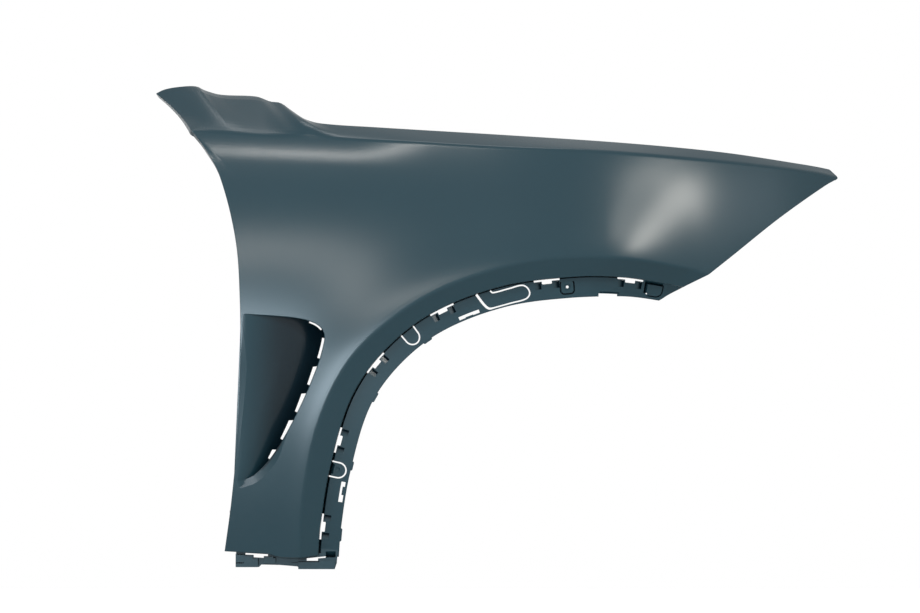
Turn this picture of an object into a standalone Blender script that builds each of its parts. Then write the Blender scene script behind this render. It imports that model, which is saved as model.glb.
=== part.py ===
"""Right-hand front fender of a car, injection moulded in one piece from a thermoplastic.

The outer skin sweeps from the door to the headlight over the wheel opening. Its edges turn
in to the door gap, the hood gap and the headlight, and a flange inside the wheel opening
carries the clip slots and spring tongues that hold the arch trim and the wheel-arch liner.

Sizes are in metres. The drawing frame has its origin at the wheel's centre, with X forward,
Y inboard and Z up. The finished part is moved so that its origin is the seat of the
middle bolt pad on the hood flange, where the fender is hung on the car body.
"""
import math

import bmesh
import bpy
import numpy as np
from mathutils import Vector
from mathutils.geometry import interpolate_bezier

for item in list(bpy.data.objects):
    bpy.data.objects.remove(item, do_unlink=True)

# Wall and turned-in edges
WALL = 0.003
EDGE_RETURN = 0.013
HOOD_DROP = 0.014
HOOD_FLANGE = 0.028
TIP_RETURN = 0.3
TIP_REACH = 0.070

# Outlines seen from the side, as points (x, z) that smooth curves pass through
ARCH_EDGE = [(-0.445, -0.051), (-0.441, 0.0), (-0.425, 0.097), (-0.389, 0.216),
             (-0.333, 0.296), (-0.252, 0.360), (-0.136, 0.405), (-0.017, 0.4216),
             (0.068, 0.4216), (0.145, 0.4106), (0.175, 0.404)]
ARCH_CREASE = [(-0.476, -0.055), (-0.471, 0.042), (-0.445, 0.170), (-0.391, 0.280),
               (-0.306, 0.360), (-0.204, 0.415), (-0.068, 0.4505), (0.068, 0.453),
               (0.187, 0.435), (0.218, 0.425)]
LEG_BOTTOM = [(-0.476, -0.055), (-0.510, -0.0535), (-0.530, -0.0485), (-0.6035, -0.044)]
DOOR_EDGE = [(-0.6035, -0.044), (-0.592, 0.042), (-0.581, 0.161), (-0.577, 0.280),
             (-0.5775, 0.380), (-0.585, 0.4845), (-0.612, 0.593), (-0.639, 0.6425),
             (-0.6605, 0.6707)]
SHOULDER = [(-0.6605, 0.6707), (-0.510, 0.662), (-0.3315, 0.6535), (-0.136, 0.6425),
            (0.034, 0.636), (0.204, 0.622), (0.330, 0.609), (0.410, 0.5985),
            (0.4425, 0.5905)]
HOOD_EDGE = [(-0.7225, 0.7345), (-0.708, 0.7415), (-0.680, 0.7463), (-0.653, 0.7468),
             (-0.640, 0.7405), (-0.612, 0.7327), (-0.551, 0.7295), (-0.527, 0.721),
             (-0.510, 0.7185), (-0.493, 0.707), (-0.470, 0.6915), (-0.442, 0.6834),
             (-0.347, 0.6766), (-0.122, 0.663), (0.082, 0.6494), (0.245, 0.634),
             (0.381, 0.614), (0.410, 0.609), (0.4265, 0.6055)]
HEADLIGHT_EDGE = [(0.218, 0.425), (0.2584, 0.457), (0.340, 0.522), (0.4189, 0.5775),
                  (0.4425, 0.5905)]

# Form of the skin, as depths inboard of the line that the flare just touches
SWEEP_START = -0.180
NOSE_X = 0.442
NOSE_DEPTH = 0.190
NOSE_POWER = 2.4
DOOR_X = -0.580
DOOR_DEPTH = 0.012
WAIST_Z = 0.250
SHOULDER_Z = 0.650
SHOULDER_DEPTH = 0.062
SHOULDER_POWER = 2.6
SILL_Z = -0.050
SILL_DEPTH = 0.020
FLARE_HEIGHT = 0.013
FLARE_REACH = 0.075
FLARE_FADE = 0.9
FADE_START = 0.040
FADE_END = 0.200
PILLAR_TOP_DEPTH = 0.108
HOOD_TOP_DEPTH = 0.044
NOSE_TOP_DEPTH = 0.010
PILLAR_END_X = -0.520
HOOD_START_X = -0.430

# Arch band, the step behind it and the flange in the wheel opening
BAND_DEPTH = 0.012
FLANGE_STEP = 0.014
FLANGE_WIDTH = 0.0355
FLANGE_END_WIDTH = 0.031
FLANGE_TIP_BACK = 0.0365

# Openings of the flange, by their distance along the arch edge and inset from it
CLIP_PLACES = [0.0495, 0.1995, 0.3475, 0.494, 0.6805, 0.8235]
CLIP_LENGTH = 0.044
CLIP_WIDTH = 0.0028
NOTCH_LENGTH = 0.017
NOTCH_DEPTH = 0.0085
RAMP_OFFSET = 0.0155
RAMP_LENGTH = 0.011
RAMP_INSET = 0.0045
RAMP_WIDTH = 0.0125
RAMP_SINK = 0.0018
EDGE_CLEARANCE = 0.0008
TONGUE_PLACES = [0.1495, 0.4245]
TONGUE_WIDTH = 0.026
TONGUE_LENGTH = 0.028
TONGUE_SLOT = 0.0024
LATCH_PLACE = 0.604
LATCH_SLOT = 0.0024
LATCH_LINE = [(-0.046, 0.0012), (-0.0395, 0.020), (-0.033, 0.0300), (-0.025, 0.0316),
              (0.010, 0.0313), (0.036, 0.0292), (0.0445, 0.022), (0.0425, 0.0115),
              (0.034, 0.0054), (0.0108, 0.0066), (-0.018, 0.0066), (-0.0215, 0.0022)]
WINDOWS = [(0.1135, 0.034, 0.0245, 0.0065), (0.534, 0.039, 0.0265, 0.0055)]
GAP_PLACE = 0.786
GAP_LENGTH = 0.033
GAP_INSET = 0.0295
NUBS = [(0.0385, 0.025), (0.162, 0.016), (0.2955, 0.021), (0.4435, 0.019)]
NUB_PROUD = 0.0025
BOSS_PLACE = 0.7145
BOSS_INSET = 0.0165
BOSS_SIZE = 0.022
BOSS_SINK = 0.0035
BOSS_HOLE = 0.0048
POCKET_PLACE = 0.866
POCKET_LENGTH = 0.034
POCKET_WIDTH = 0.027
POCKET_SLOT = 0.0055
POCKET_DEPTH = 0.009
POCKET_STEP = 0.0007
POCKET_TAPER = 0.008

# Recess behind the wheel, with through-slots along its front border
VENT_BORDER = [(-0.570, 0.3583), (-0.5644, 0.358), (-0.493, 0.353), (-0.4624, 0.3475),
               (-0.4435, 0.3385), (-0.4345, 0.3250), (-0.4355, 0.3080), (-0.447, 0.2685),
               (-0.479, 0.194), (-0.5185, 0.124), (-0.5525, 0.086), (-0.578, 0.0755),
               (-0.582, 0.0750)]
VENT_REAR = [(-0.5644, 0.358), (-0.578, 0.0755)]
VENT_SLOPE = 0.21
VENT_SLOTS = [(0.115, 0.019), (0.150, 0.035), (0.200, 0.036), (0.2515, 0.034),
              (0.3030, 0.036), (0.3530, 0.020)]
VENT_SLOT_WIDTH = 0.0045
VENT_SLOT_INSET = 0.0003

# Trim flange under the leg
TRIM_OUTLINE = [(-0.584, -0.0440), (-0.584, -0.0706), (-0.545, -0.0706), (-0.541, -0.0665),
                (-0.510, -0.0672), (-0.480, -0.0697), (-0.476, -0.0740), (-0.4165, -0.0740),
                (-0.413, -0.0640), (-0.411, -0.0380), (-0.445, -0.0380), (-0.490, -0.0500),
                (-0.530, -0.0450)]
TRIM_SLOTS = [[(-0.568, -0.0468), (-0.530, -0.0490), (-0.530, -0.0520), (-0.537, -0.0520),
               (-0.537, -0.0550), (-0.554, -0.0540), (-0.554, -0.0500), (-0.568, -0.0495)],
              [(-0.464, -0.0560), (-0.432, -0.0525), (-0.432, -0.0550), (-0.445, -0.0560),
               (-0.445, -0.0600), (-0.464, -0.0600)]]

TRIM_FACE = 0.0515

# Bolt pads on the hood flange, by their share of the hood line, and tabs at the door edge
PAD_SHARES = [0.36, 0.59, 0.82]
PAD_LENGTH = 0.038
PAD_WIDTH = 0.022
PAD_RISE = 0.0032
PAD_HEIGHT = 0.007
PAD_FROM_DROP = 0.016
BOLT_HOLE = 0.0075
BOLT_SLOT = 0.006
HOLE_OFFSET = 0.007
SEAT_OFFSET = -0.011
TAB_HEIGHTS = [0.012, 0.440]
TAB_LENGTH = 0.026
TAB_WIDTH = 0.026

# Grid of the skin
DOOR_COLUMNS = 26
PILLAR_COLUMNS = 24
PILLAR_SHARE = 0.30
HOOD_COLUMNS = 50
CORNER_SHARE = 0.42
SKIN_ROWS = 14
TOP_ROWS = 5
FLANGE_FIRST = 3
FLANGE_LAST = 2
PLAN_SPAN = 4


class Path:
    """A smooth curve through hand-chosen points, read by its share of the length."""

    def __init__(self, points):
        knots = [Vector((x, 0, z)) for x, z in points]
        line = []
        for i in range(len(knots) - 1):
            start, end = knots[i], knots[i + 1]
            before = knots[max(i - 1, 0)]
            after = knots[min(i + 2, len(knots) - 1)]
            reach = (end - start).length / 3
            lead = start + (end - before).normalized() * reach
            trail = end - (after - start).normalized() * reach
            line += interpolate_bezier(start, lead, trail, end, 17)[:-1]
        line.append(knots[-1])
        self.points = np.array([(p.x, p.z) for p in line])
        steps = np.linalg.norm(np.diff(self.points, axis=0), axis=1)
        self.run = np.concatenate([[0.0], np.cumsum(steps)])
        self.length = self.run[-1]

    def along(self, distance):
        """The point at a distance from the start."""
        x = np.interp(distance, self.run, self.points[:, 0])
        z = np.interp(distance, self.run, self.points[:, 1])
        return np.array((x, z))

    def at(self, share):
        """The point at a share of the length, from 0 to 1."""
        return self.along(share * self.length)

    def side(self, distance):
        """The unit vector to the right of the curve's direction, at a distance."""
        ahead = self.along(min(distance + 0.002, self.length))
        behind = self.along(max(distance - 0.002, 0.0))
        way = (ahead - behind) / np.linalg.norm(ahead - behind)
        return np.array((way[1], -way[0]))

    def gap(self, x, z):
        """The distance from a point to the nearest place on the curve."""
        start = self.points[:-1]
        step = np.diff(self.points, axis=0)
        to_point = np.array((x, z)) - start
        share = np.clip((to_point * step).sum(axis=1) / (step * step).sum(axis=1), 0, 1)
        return np.linalg.norm(to_point - step * share[:, None], axis=1).min()


arch = Path(ARCH_EDGE)
crease = Path(ARCH_CREASE)
leg_bottom = Path(LEG_BOTTOM)
door_edge = Path(DOOR_EDGE)
shoulder = Path(SHOULDER)
hood_edge = Path(HOOD_EDGE)
headlight_edge = Path(HEADLIGHT_EDGE)


def on_arch(distance, inset):
    """The point at a distance along the arch edge, inset toward the wheel."""
    return arch.along(distance) + arch.side(distance) * inset


def ramp(value, start, end):
    """0 before start, 1 after end, and a smooth rise between."""
    share = min(max((value - start) / (end - start), 0.0), 1.0)
    return share * share * (3 - 2 * share)


def skin_depth(x, z):
    """How far inboard the outer skin lies, below the shoulder crease."""
    sweep = max(0.0, (x - SWEEP_START) / (NOSE_X - SWEEP_START))
    rear = max(0.0, (SWEEP_START - x) / (SWEEP_START - DOOR_X))
    lean = max(0.0, (z - WAIST_Z) / (SHOULDER_Z - WAIST_Z))
    tuck = max(0.0, (WAIST_Z - z) / (WAIST_Z - SILL_Z))
    flare = math.exp(-(crease.gap(x, z) / FLARE_REACH) ** 1.6)
    flare *= 1 - FLARE_FADE * ramp(x, FADE_START, FADE_END)
    depth = NOSE_DEPTH * sweep ** NOSE_POWER + DOOR_DEPTH * rear ** 2
    depth += SHOULDER_DEPTH * lean ** SHOULDER_POWER + SILL_DEPTH * tuck ** 2
    return depth + FLARE_HEIGHT * (1 - flare)


def top_depth(x):
    """How far the hood line lies inboard of the shoulder crease."""
    behind = ramp(x, PILLAR_END_X, HOOD_START_X)
    ahead = ramp(x, SWEEP_START, NOSE_X)
    hood = HOOD_TOP_DEPTH + (NOSE_TOP_DEPTH - HOOD_TOP_DEPTH) * ahead
    return PILLAR_TOP_DEPTH + (hood - PILLAR_TOP_DEPTH) * behind


def top_point(share, up):
    """A point of the band from the shoulder crease up to the hood line."""
    low = shoulder.at(share)
    x, z = low + (hood_edge.at(share) - low) * up
    depth = skin_depth(*low) + top_depth(x) * up ** 1.3
    return Vector((x, depth, z))


def coons(inner, outer, start, end, across, along):
    """A point between four boundary curves: across from inner to outer, along from start to end."""
    ruled = (1 - across) * inner(along) + across * outer(along)
    sides = (1 - along) * start(across) + along * end(across)
    corners = (1 - across) * ((1 - along) * inner(0) + along * inner(1))
    corners += across * ((1 - along) * outer(0) + along * outer(1))
    return ruled + sides - corners


def column_share(column):
    """A column's share of the arch, closer together behind the hood's rear corner."""
    if column <= DOOR_COLUMNS:
        return CORNER_SHARE * column / DOOR_COLUMNS
    hood_share = np.interp(column - DOOR_COLUMNS, (0, PILLAR_COLUMNS, HOOD_COLUMNS),
                           (0, PILLAR_SHARE, 1))
    return CORNER_SHARE + (1 - CORNER_SHARE) * hood_share


def outer_point(arch_share):
    """The point on the door edge or the shoulder for a share of the arch."""
    if arch_share <= CORNER_SHARE:
        return door_edge.at(arch_share / CORNER_SHARE)
    return shoulder.at((arch_share - CORNER_SHARE) / (1 - CORNER_SHARE))


# Rows of the grid, from the flange's inner edge outward
FLANGE_ROW = 1
FOOT_ROW = 2
EDGE_ROW = 3
CREASE_ROW = 4
SHOULDER_ROW = CREASE_ROW + SKIN_ROWS
HOOD_ROW = SHOULDER_ROW + TOP_ROWS
COLUMNS = DOOR_COLUMNS + HOOD_COLUMNS


def skin_point(column, row):
    """The place of a grid vertex on the outer face."""
    arch_share = column_share(column)
    if row >= CREASE_ROW:
        across = (row - CREASE_ROW) / SKIN_ROWS
        if row > SHOULDER_ROW:
            share = (arch_share - CORNER_SHARE) / (1 - CORNER_SHARE)
            return top_point(share, (row - SHOULDER_ROW) / TOP_ROWS)
        x, z = coons(crease.at, outer_point, leg_bottom.at, headlight_edge.at,
                     across ** 1.25, arch_share)
        return Vector((x, skin_depth(x, z), z))
    x, z = crease.at(arch_share)
    run = arch_share * arch.length
    x_edge, z_edge = arch.along(run)
    y = skin_depth(x, z) + BAND_DEPTH * (1 - 0.6 * ramp(arch_share, 0.85, 1.0))
    if row == EDGE_ROW:
        return Vector((x_edge, y, z_edge))
    front = ramp(arch_share, 0.8, 1.0)
    width = FLANGE_WIDTH + (FLANGE_END_WIDTH - FLANGE_WIDTH) * front
    share = (1.0, 0.5, 0.0)[row]
    x, z = on_arch(run - FLANGE_TIP_BACK * front * share,
                   EDGE_CLEARANCE / 2 + (width - EDGE_CLEARANCE / 2) * share)
    return Vector((x, y + FLANGE_STEP, z))


def new_object(name, mesh, collection):
    """An object of a mesh, in a collection."""
    made = bpy.data.objects.new(name, mesh)
    collection.objects.link(made)
    return made


parts = bpy.data.collections.new("car_fender")
cutters = bpy.data.collections.new("cutters")
bpy.context.scene.collection.children.link(parts)
bpy.context.scene.collection.children.link(cutters)


def make_skin():
    """The outer face with its returns, as an open surface."""
    mesh = bpy.data.meshes.new("fender")
    bm = bmesh.new()
    column_of = bm.verts.layers.int.new("column")
    row_of = bm.verts.layers.int.new("row")
    inward_of = bm.verts.layers.float_vector.new("inward")
    bmesh.ops.create_grid(bm, x_segments=COLUMNS, y_segments=HOOD_ROW, size=1)
    for index, vert in enumerate(bm.verts):
        vert[row_of], vert[column_of] = divmod(index, COLUMNS + 1)
    spare = [v for v in bm.verts if v[row_of] > SHOULDER_ROW and v[column_of] < DOOR_COLUMNS]
    bmesh.ops.delete(bm, geom=spare, context="VERTS")
    for vert in bm.verts:
        vert.co = skin_point(vert[column_of], vert[row_of])
    bm.normal_update()
    if sum(face.normal.y for face in bm.faces) > 0:
        bmesh.ops.reverse_faces(bm, faces=bm.faces)
        bm.normal_update()
    for vert in bm.verts:
        vert[inward_of] = -vert.normal

    # The rim turns inward all round, apart from the flange in the wheel opening
    feet = {v[column_of]: v for v in bm.verts if v[row_of] == FOOT_ROW and v.is_boundary}
    rim = [e for e in bm.edges if e.is_boundary and min(v[row_of] for v in e.verts) >= EDGE_ROW]
    made = bmesh.ops.extrude_edge_only(bm, edges=rim)["geom"]
    turned = [v for v in made if isinstance(v, bmesh.types.BMVert)]
    tip = skin_point(COLUMNS, HOOD_ROW)
    for vert in turned:
        on_hood = vert[row_of] == HOOD_ROW and vert[column_of] > DOOR_COLUMNS
        reach = HOOD_DROP if on_hood else EDGE_RETURN
        from_tip = ramp((vert.co - tip).length, 0, TIP_REACH)
        if vert[column_of] == 0:
            vert.co.y = feet[0].co.y
        else:
            vert.co += vert[inward_of] * reach * (TIP_RETURN + (1 - TIP_RETURN) * from_tip)

    # The hood flange goes level inboard, square to the foot of the drop as seen from above
    first = DOOR_COLUMNS + FLANGE_FIRST
    last = COLUMNS - FLANGE_LAST
    drop = {v[column_of]: v for v in turned
            if v[row_of] == HOOD_ROW and first <= v[column_of] <= last}
    foot = [e for e in bm.edges if e.is_boundary and all(v in drop.values() for v in e.verts)]
    made = bmesh.ops.extrude_edge_only(bm, edges=foot)["geom"]
    edge = [v for v in made if isinstance(v, bmesh.types.BMVert)]
    outward = {}
    for vert in edge:
        behind = drop[max(vert[column_of] - PLAN_SPAN, first)].co
        ahead = drop[min(vert[column_of] + PLAN_SPAN, last)].co
        outward[vert[column_of]] = Vector((behind.y - ahead.y, ahead.x - behind.x, 0)).normalized()
    for vert in edge:
        vert.co += outward[vert[column_of]] * HOOD_FLANGE

    # The rim's two ends meet the foot of the step behind the arch edge
    ends = {v: feet[v[column_of]] for v in turned if v[row_of] == EDGE_ROW}
    bmesh.ops.weld_verts(bm, targetmap=ends)
    bm.to_mesh(mesh)
    bm.free()
    return mesh


fender = new_object("fender", make_skin(), parts)
thicken = fender.modifiers.new("wall", "SOLIDIFY")
thicken.thickness = WALL
thicken.offset = -1
thicken.use_even_offset = True
thicken.use_quality_normals = True


def flange_depth(distance):
    """How far inboard the flange's outer face lies, at a distance along the arch edge."""
    share = distance / arch.length
    x, z = crease.at(share)
    return skin_depth(x, z) + BAND_DEPTH * (1 - 0.6 * ramp(share, 0.85, 1.0)) + FLANGE_STEP


def ribbon(line, width):
    """The outline of a slot of even width along a line of points."""
    line = [np.array(p, float) for p in line]
    left, right = [], []
    for i, point in enumerate(line):
        way = line[min(i + 1, len(line) - 1)] - line[max(i - 1, 0)]
        normal = np.array((-way[1], way[0])) / np.linalg.norm(way)
        left.append(point + normal * width / 2)
        right.append(point - normal * width / 2)
    return left + right[::-1]


def prism(name, outlines, near, far, upright=False):
    """Closed solids between two depths, from outlines (x, z), or (x, y) between two heights."""
    curve = bpy.data.curves.new(name, "CURVE")
    curve.dimensions = "2D"
    curve.fill_mode = "BOTH"
    curve.extrude = (far - near) / 2
    for outline in outlines:
        spline = curve.splines.new("POLY")
        spline.points.add(len(outline) - 1)
        for point, (x, z) in zip(spline.points, outline):
            point.co = (x, z, 0, 1)
        spline.use_cyclic_u = True
    flat = new_object(name, curve, cutters)
    middle = (near + far) / 2
    flat.location = (0, 0, middle) if upright else (0, middle, 0)
    flat.rotation_euler = (0 if upright else math.radians(90), 0, 0)
    bpy.context.view_layer.update()
    evaluated = flat.evaluated_get(bpy.context.evaluated_depsgraph_get())
    mesh = bpy.data.meshes.new_from_object(evaluated)
    bm = bmesh.new()
    bm.from_mesh(mesh)
    bmesh.ops.remove_doubles(bm, verts=bm.verts, dist=0.00001)
    bm.to_mesh(mesh)
    bm.free()
    solid = new_object(name, mesh, cutters)
    solid.matrix_world = flat.matrix_world
    bpy.data.objects.remove(flat, do_unlink=True)
    hide(solid)
    return solid


def hide(solid):
    """Mark a helper solid, which only shapes the part."""
    solid.hide_render = True
    solid.display_type = "WIRE"


def block(name, corner, size, near, far, cells=7):
    """A closed solid over a rectangle seen from the side, between two curved depths."""
    mesh = bpy.data.meshes.new(name)
    bm = bmesh.new()
    bmesh.ops.create_cube(bm, size=1)
    bmesh.ops.subdivide_edges(bm, edges=bm.edges, cuts=cells, use_grid_fill=True)
    for vert in bm.verts:
        x = corner[0] + (vert.co.x + 0.5) * size[0]
        z = corner[1] + (vert.co.z + 0.5) * size[1]
        share = vert.co.y + 0.5
        vert.co = (x, near(x, z) * (1 - share) + far(x, z) * share, z)
    bm.to_mesh(mesh)
    bm.free()
    solid = new_object(name, mesh, cutters)
    hide(solid)
    return solid


steps = []


def combine(target, tool, operation):
    """Note a cut, join or intersection with another solid, in the order of making."""
    steps.append((target, tool, operation))


def add_steps():
    """Give the solids their noted steps, once all of them are made."""
    for target, tool, operation in steps:
        step = target.modifiers.new(tool.name, "BOOLEAN")
        step.operation = operation
        step.solver = "EXACT"
        step.object = tool


def cut_vent():
    """The recess behind the wheel: a tray joined behind the skin, then opened from outside."""
    border = Path(VENT_BORDER)
    rear = Path(VENT_REAR)
    rear_top, rear_low = rear.at(0), rear.at(1)

    def floor(x, z):
        share = (z - rear_low[1]) / (rear_top[1] - rear_low[1])
        start = rear_low[0] + (rear_top[0] - rear_low[0]) * share
        return skin_depth(x, z) + VENT_SLOPE * (x - start)

    def hidden(x, z):
        return skin_depth(x, z) + WALL * 0.3

    def back(x, z):
        return max(floor(x, z), skin_depth(x, z)) + WALL * 0.85

    edge = [border.along(d) for d in np.linspace(0, border.length, 45)]
    outer = []
    for distance in np.linspace(0, border.length, 45):
        outer.append(border.along(distance) - border.side(distance) * WALL)
    corner = (-0.600, 0.050)
    size = (0.185, 0.335)
    tray = block("vent_tray", corner, size, hidden, back)
    combine(tray, prism("vent_tray_outline", [outer], -0.05, 0.12), "INTERSECT")
    combine(fender, tray, "UNION")
    opening = block("vent_opening", corner, size, lambda x, z: -0.04, floor)
    combine(opening, prism("vent_outline", [edge], -0.06, 0.12), "INTERSECT")
    combine(fender, opening, "DIFFERENCE")

    for number, (start, length) in enumerate(VENT_SLOTS):
        inset = VENT_SLOT_INSET + VENT_SLOT_WIDTH / 2
        stops = np.linspace(start, start + length, 4)
        line = [border.along(d) + border.side(d) * inset for d in stops]
        x, z = line[1]
        combine(fender, prism(f"vent_slot_{number + 1}", [ribbon(line, VENT_SLOT_WIDTH)],
                              skin_depth(x, z) + 0.005, 0.12), "DIFFERENCE")


def arch_outline(corners, step=0.008):
    """A closed outline drawn in distance along the arch edge and inset, bent along it."""
    outline = []
    for (start, inset), (end, next_inset) in zip(corners, corners[1:] + corners[:1]):
        parts_count = max(1, round(abs(end - start) / step))
        for k in range(parts_count):
            share = k / parts_count
            outline.append(on_arch(start + (end - start) * share,
                                   inset + (next_inset - inset) * share))
    return outline


def cut_flange():
    """Everything that is cut through the flange, as one cutter."""
    outlines = []
    for place in CLIP_PLACES:
        half, notch = CLIP_LENGTH / 2, NOTCH_LENGTH / 2
        near, far = EDGE_CLEARANCE, EDGE_CLEARANCE + CLIP_WIDTH
        outlines.append(arch_outline([
            (place - half, near), (place + half, near), (place + half, far),
            (place + notch, far), (place + notch, NOTCH_DEPTH),
            (place - notch, NOTCH_DEPTH), (place - notch, far), (place - half, far)]))
    for place in TONGUE_PLACES:
        radius = TONGUE_WIDTH / 2
        line = [(place - radius, EDGE_CLEARANCE)]
        for angle in np.linspace(180, 0, 9):
            turn = math.radians(angle)
            line.append((place + radius * math.cos(turn),
                         TONGUE_LENGTH - radius + radius * math.sin(turn)))
        line.append((place + radius, EDGE_CLEARANCE))
        outlines.append(ribbon([on_arch(*p) for p in line], TONGUE_SLOT))
    latch = Path(LATCH_LINE)
    line = [latch.at(share) for share in np.linspace(0, 1, 33)]
    outlines.append(ribbon([on_arch(LATCH_PLACE + run, inset) for run, inset in line], LATCH_SLOT))
    for place, length, inset, width in WINDOWS:
        outlines.append(arch_outline([
            (place - length / 2, inset), (place + length / 2, inset),
            (place + length / 2, inset + width), (place - length / 2, inset + width)]))
    outlines.append(arch_outline([
        (GAP_PLACE - GAP_LENGTH / 2, GAP_INSET), (GAP_PLACE + GAP_LENGTH / 2, GAP_INSET),
        (GAP_PLACE + GAP_LENGTH / 2, 0.040), (GAP_PLACE - GAP_LENGTH / 2, 0.040)]))
    combine(fender, prism("flange_openings", outlines, -0.01, 0.14), "DIFFERENCE")


def arch_blocks(name, spans, near, far, cells=0, taper=0.0):
    """Closed blocks bent along the arch, each (start, end, inset, far inset), between depths.

    The depths are behind the flange's outer face, at a share of the block's length, and the
    far inset draws back by the taper toward the block's end.
    """
    mesh = bpy.data.meshes.new(name)
    joined = bmesh.new()
    for start, end, low, high in spans:
        bm = bmesh.new()
        bmesh.ops.create_cube(bm, size=1)
        if cells:
            bmesh.ops.subdivide_edges(bm, edges=bm.edges, cuts=cells, use_grid_fill=True)
        for vert in bm.verts:
            share = vert.co.x + 0.5
            distance = start + (end - start) * share
            reach = high - low - taper * share ** 3
            x, z = on_arch(distance, low + reach * (vert.co.z + 0.5))
            depth = near(share) + (far(share) - near(share)) * (vert.co.y + 0.5)
            vert.co = (x, flange_depth(distance) + depth, z)
        bmesh.ops.recalc_face_normals(bm, faces=bm.faces)
        bm.to_mesh(mesh)
        bm.free()
        joined.from_mesh(mesh)
    joined.to_mesh(mesh)
    joined.free()
    solid = new_object(name, mesh, cutters)
    hide(solid)
    return solid


def build_flange_features():
    """The nubs, the boss, the latch pocket and the sloped lead-ins of the clip slots."""
    outside = -0.004
    nubs = [(place - length / 2, place + length / 2, FLANGE_WIDTH - 0.004, FLANGE_WIDTH + NUB_PROUD)
            for place, length in NUBS]
    combine(fender, arch_blocks("flange_nubs", nubs, lambda s: 0.0004, lambda s: WALL - 0.0004, 1),
            "UNION")

    half = BOSS_SIZE / 2
    boss = (BOSS_PLACE - half, BOSS_PLACE + half, BOSS_INSET - half, BOSS_INSET + half)
    behind = (boss[0] - WALL, boss[1] + WALL, boss[2] - WALL, boss[3] + WALL)
    combine(fender, arch_blocks("boss_back", [behind], lambda s: WALL * 0.5,
                                lambda s: BOSS_SINK + WALL, 2), "UNION")
    combine(fender, arch_blocks("boss_sink", [boss], lambda s: outside, lambda s: BOSS_SINK, 2),
            "DIFFERENCE")

    half = POCKET_LENGTH / 2
    start, end = POCKET_PLACE - half, POCKET_PLACE + half
    low, high = EDGE_CLEARANCE, EDGE_CLEARANCE + POCKET_WIDTH
    behind = (start - WALL, end, low, high)
    combine(fender, arch_blocks("pocket_back", [behind], lambda s: WALL * 0.5,
                                lambda s: POCKET_DEPTH + WALL, 4, POCKET_TAPER), "UNION")
    upright = (start, start + POCKET_SLOT, low, high - 2 * WALL)
    level = (start + POCKET_SLOT / 2, end - WALL, low + POCKET_STEP, low + POCKET_SLOT)
    slots = arch_blocks("pocket_slots", [upright], lambda s: outside, lambda s: POCKET_DEPTH, 1)
    combine(slots, arch_blocks("pocket_level_slot", [level], lambda s: outside * 2,
                               lambda s: POCKET_DEPTH - POCKET_STEP, 1), "UNION")
    combine(fender, slots, "DIFFERENCE")

    ramps = []
    for place in CLIP_PLACES:
        for side in (-1, 1):
            middle = place + side * RAMP_OFFSET
            ramps.append((middle - RAMP_LENGTH / 2, middle + RAMP_LENGTH / 2,
                          RAMP_INSET, RAMP_INSET + RAMP_WIDTH))
    combine(fender, arch_blocks("clip_lead_ins", ramps, lambda s: outside,
                                lambda s: RAMP_SINK * (0.1 + 0.9 * s)), "DIFFERENCE")

    # The bolt hole goes through the boss after its back is on
    hole = []
    for k in range(12):
        turn = math.radians(30 * k)
        hole.append(on_arch(BOSS_PLACE + BOSS_HOLE / 2 * math.cos(turn),
                            BOSS_INSET + BOSS_HOLE / 2 * math.sin(turn)))
    combine(fender, prism("boss_hole", [hole], -0.01, 0.14), "DIFFERENCE")


def build_trim_flange():
    """The short flange under the leg that the sill trim clips to."""
    plate = prism("trim_flange", [TRIM_OUTLINE], TRIM_FACE, TRIM_FACE + WALL)
    combine(fender, plate, "UNION")
    combine(fender, prism("trim_slots", TRIM_SLOTS, TRIM_FACE - 0.002, TRIM_FACE + 0.02),
            "DIFFERENCE")


def slot_outline(centre, width, length, steps=6):
    """A slot with round ends, along X, as an outline of points."""
    outline = []
    for side in (1, -1):
        for k in range(steps + 1):
            turn = math.radians(-90 + 180 * k / steps) + (0 if side > 0 else math.pi)
            outline.append((centre[0] + side * length / 2 + width / 2 * math.cos(turn),
                            centre[1] + width / 2 * math.sin(turn)))
    return outline


def hood_foot(share):
    """The foot of the drop from the hood line, where the hood flange starts."""
    point = top_point(share, 1.0)
    along = top_point(share + 0.01, 1.0) - top_point(share - 0.01, 1.0)
    up = point - top_point(share, 0.9)
    inward = along.cross(up).normalized()
    if inward.z > 0:
        inward = -inward
    return point + inward * HOOD_DROP


def build_bolt_pads():
    """Level pads with slotted bolt holes on the hood flange; returns the middle pad's seat."""
    seats = []
    for number, share in enumerate(PAD_SHARES):
        foot = hood_foot(share)
        x, y = foot.x, foot.y + PAD_FROM_DROP
        outline = [(x - PAD_LENGTH / 2, y - PAD_WIDTH / 2), (x + PAD_LENGTH / 2, y - PAD_WIDTH / 2),
                   (x + PAD_LENGTH / 2, y + PAD_WIDTH / 2), (x - PAD_LENGTH / 2, y + PAD_WIDTH / 2)]
        top = foot.z + PAD_RISE
        pad = prism(f"hood_pad_{number + 1}", [outline], top - PAD_HEIGHT, top, upright=True)
        combine(fender, pad, "UNION")
        hole = slot_outline((x + HOLE_OFFSET, y), BOLT_HOLE, BOLT_SLOT)
        combine(fender, prism(f"hood_hole_{number + 1}", [hole], top - 0.02, top + 0.01,
                              upright=True), "DIFFERENCE")
        seats.append(Vector((x + SEAT_OFFSET, y, top)))
    return seats


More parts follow.
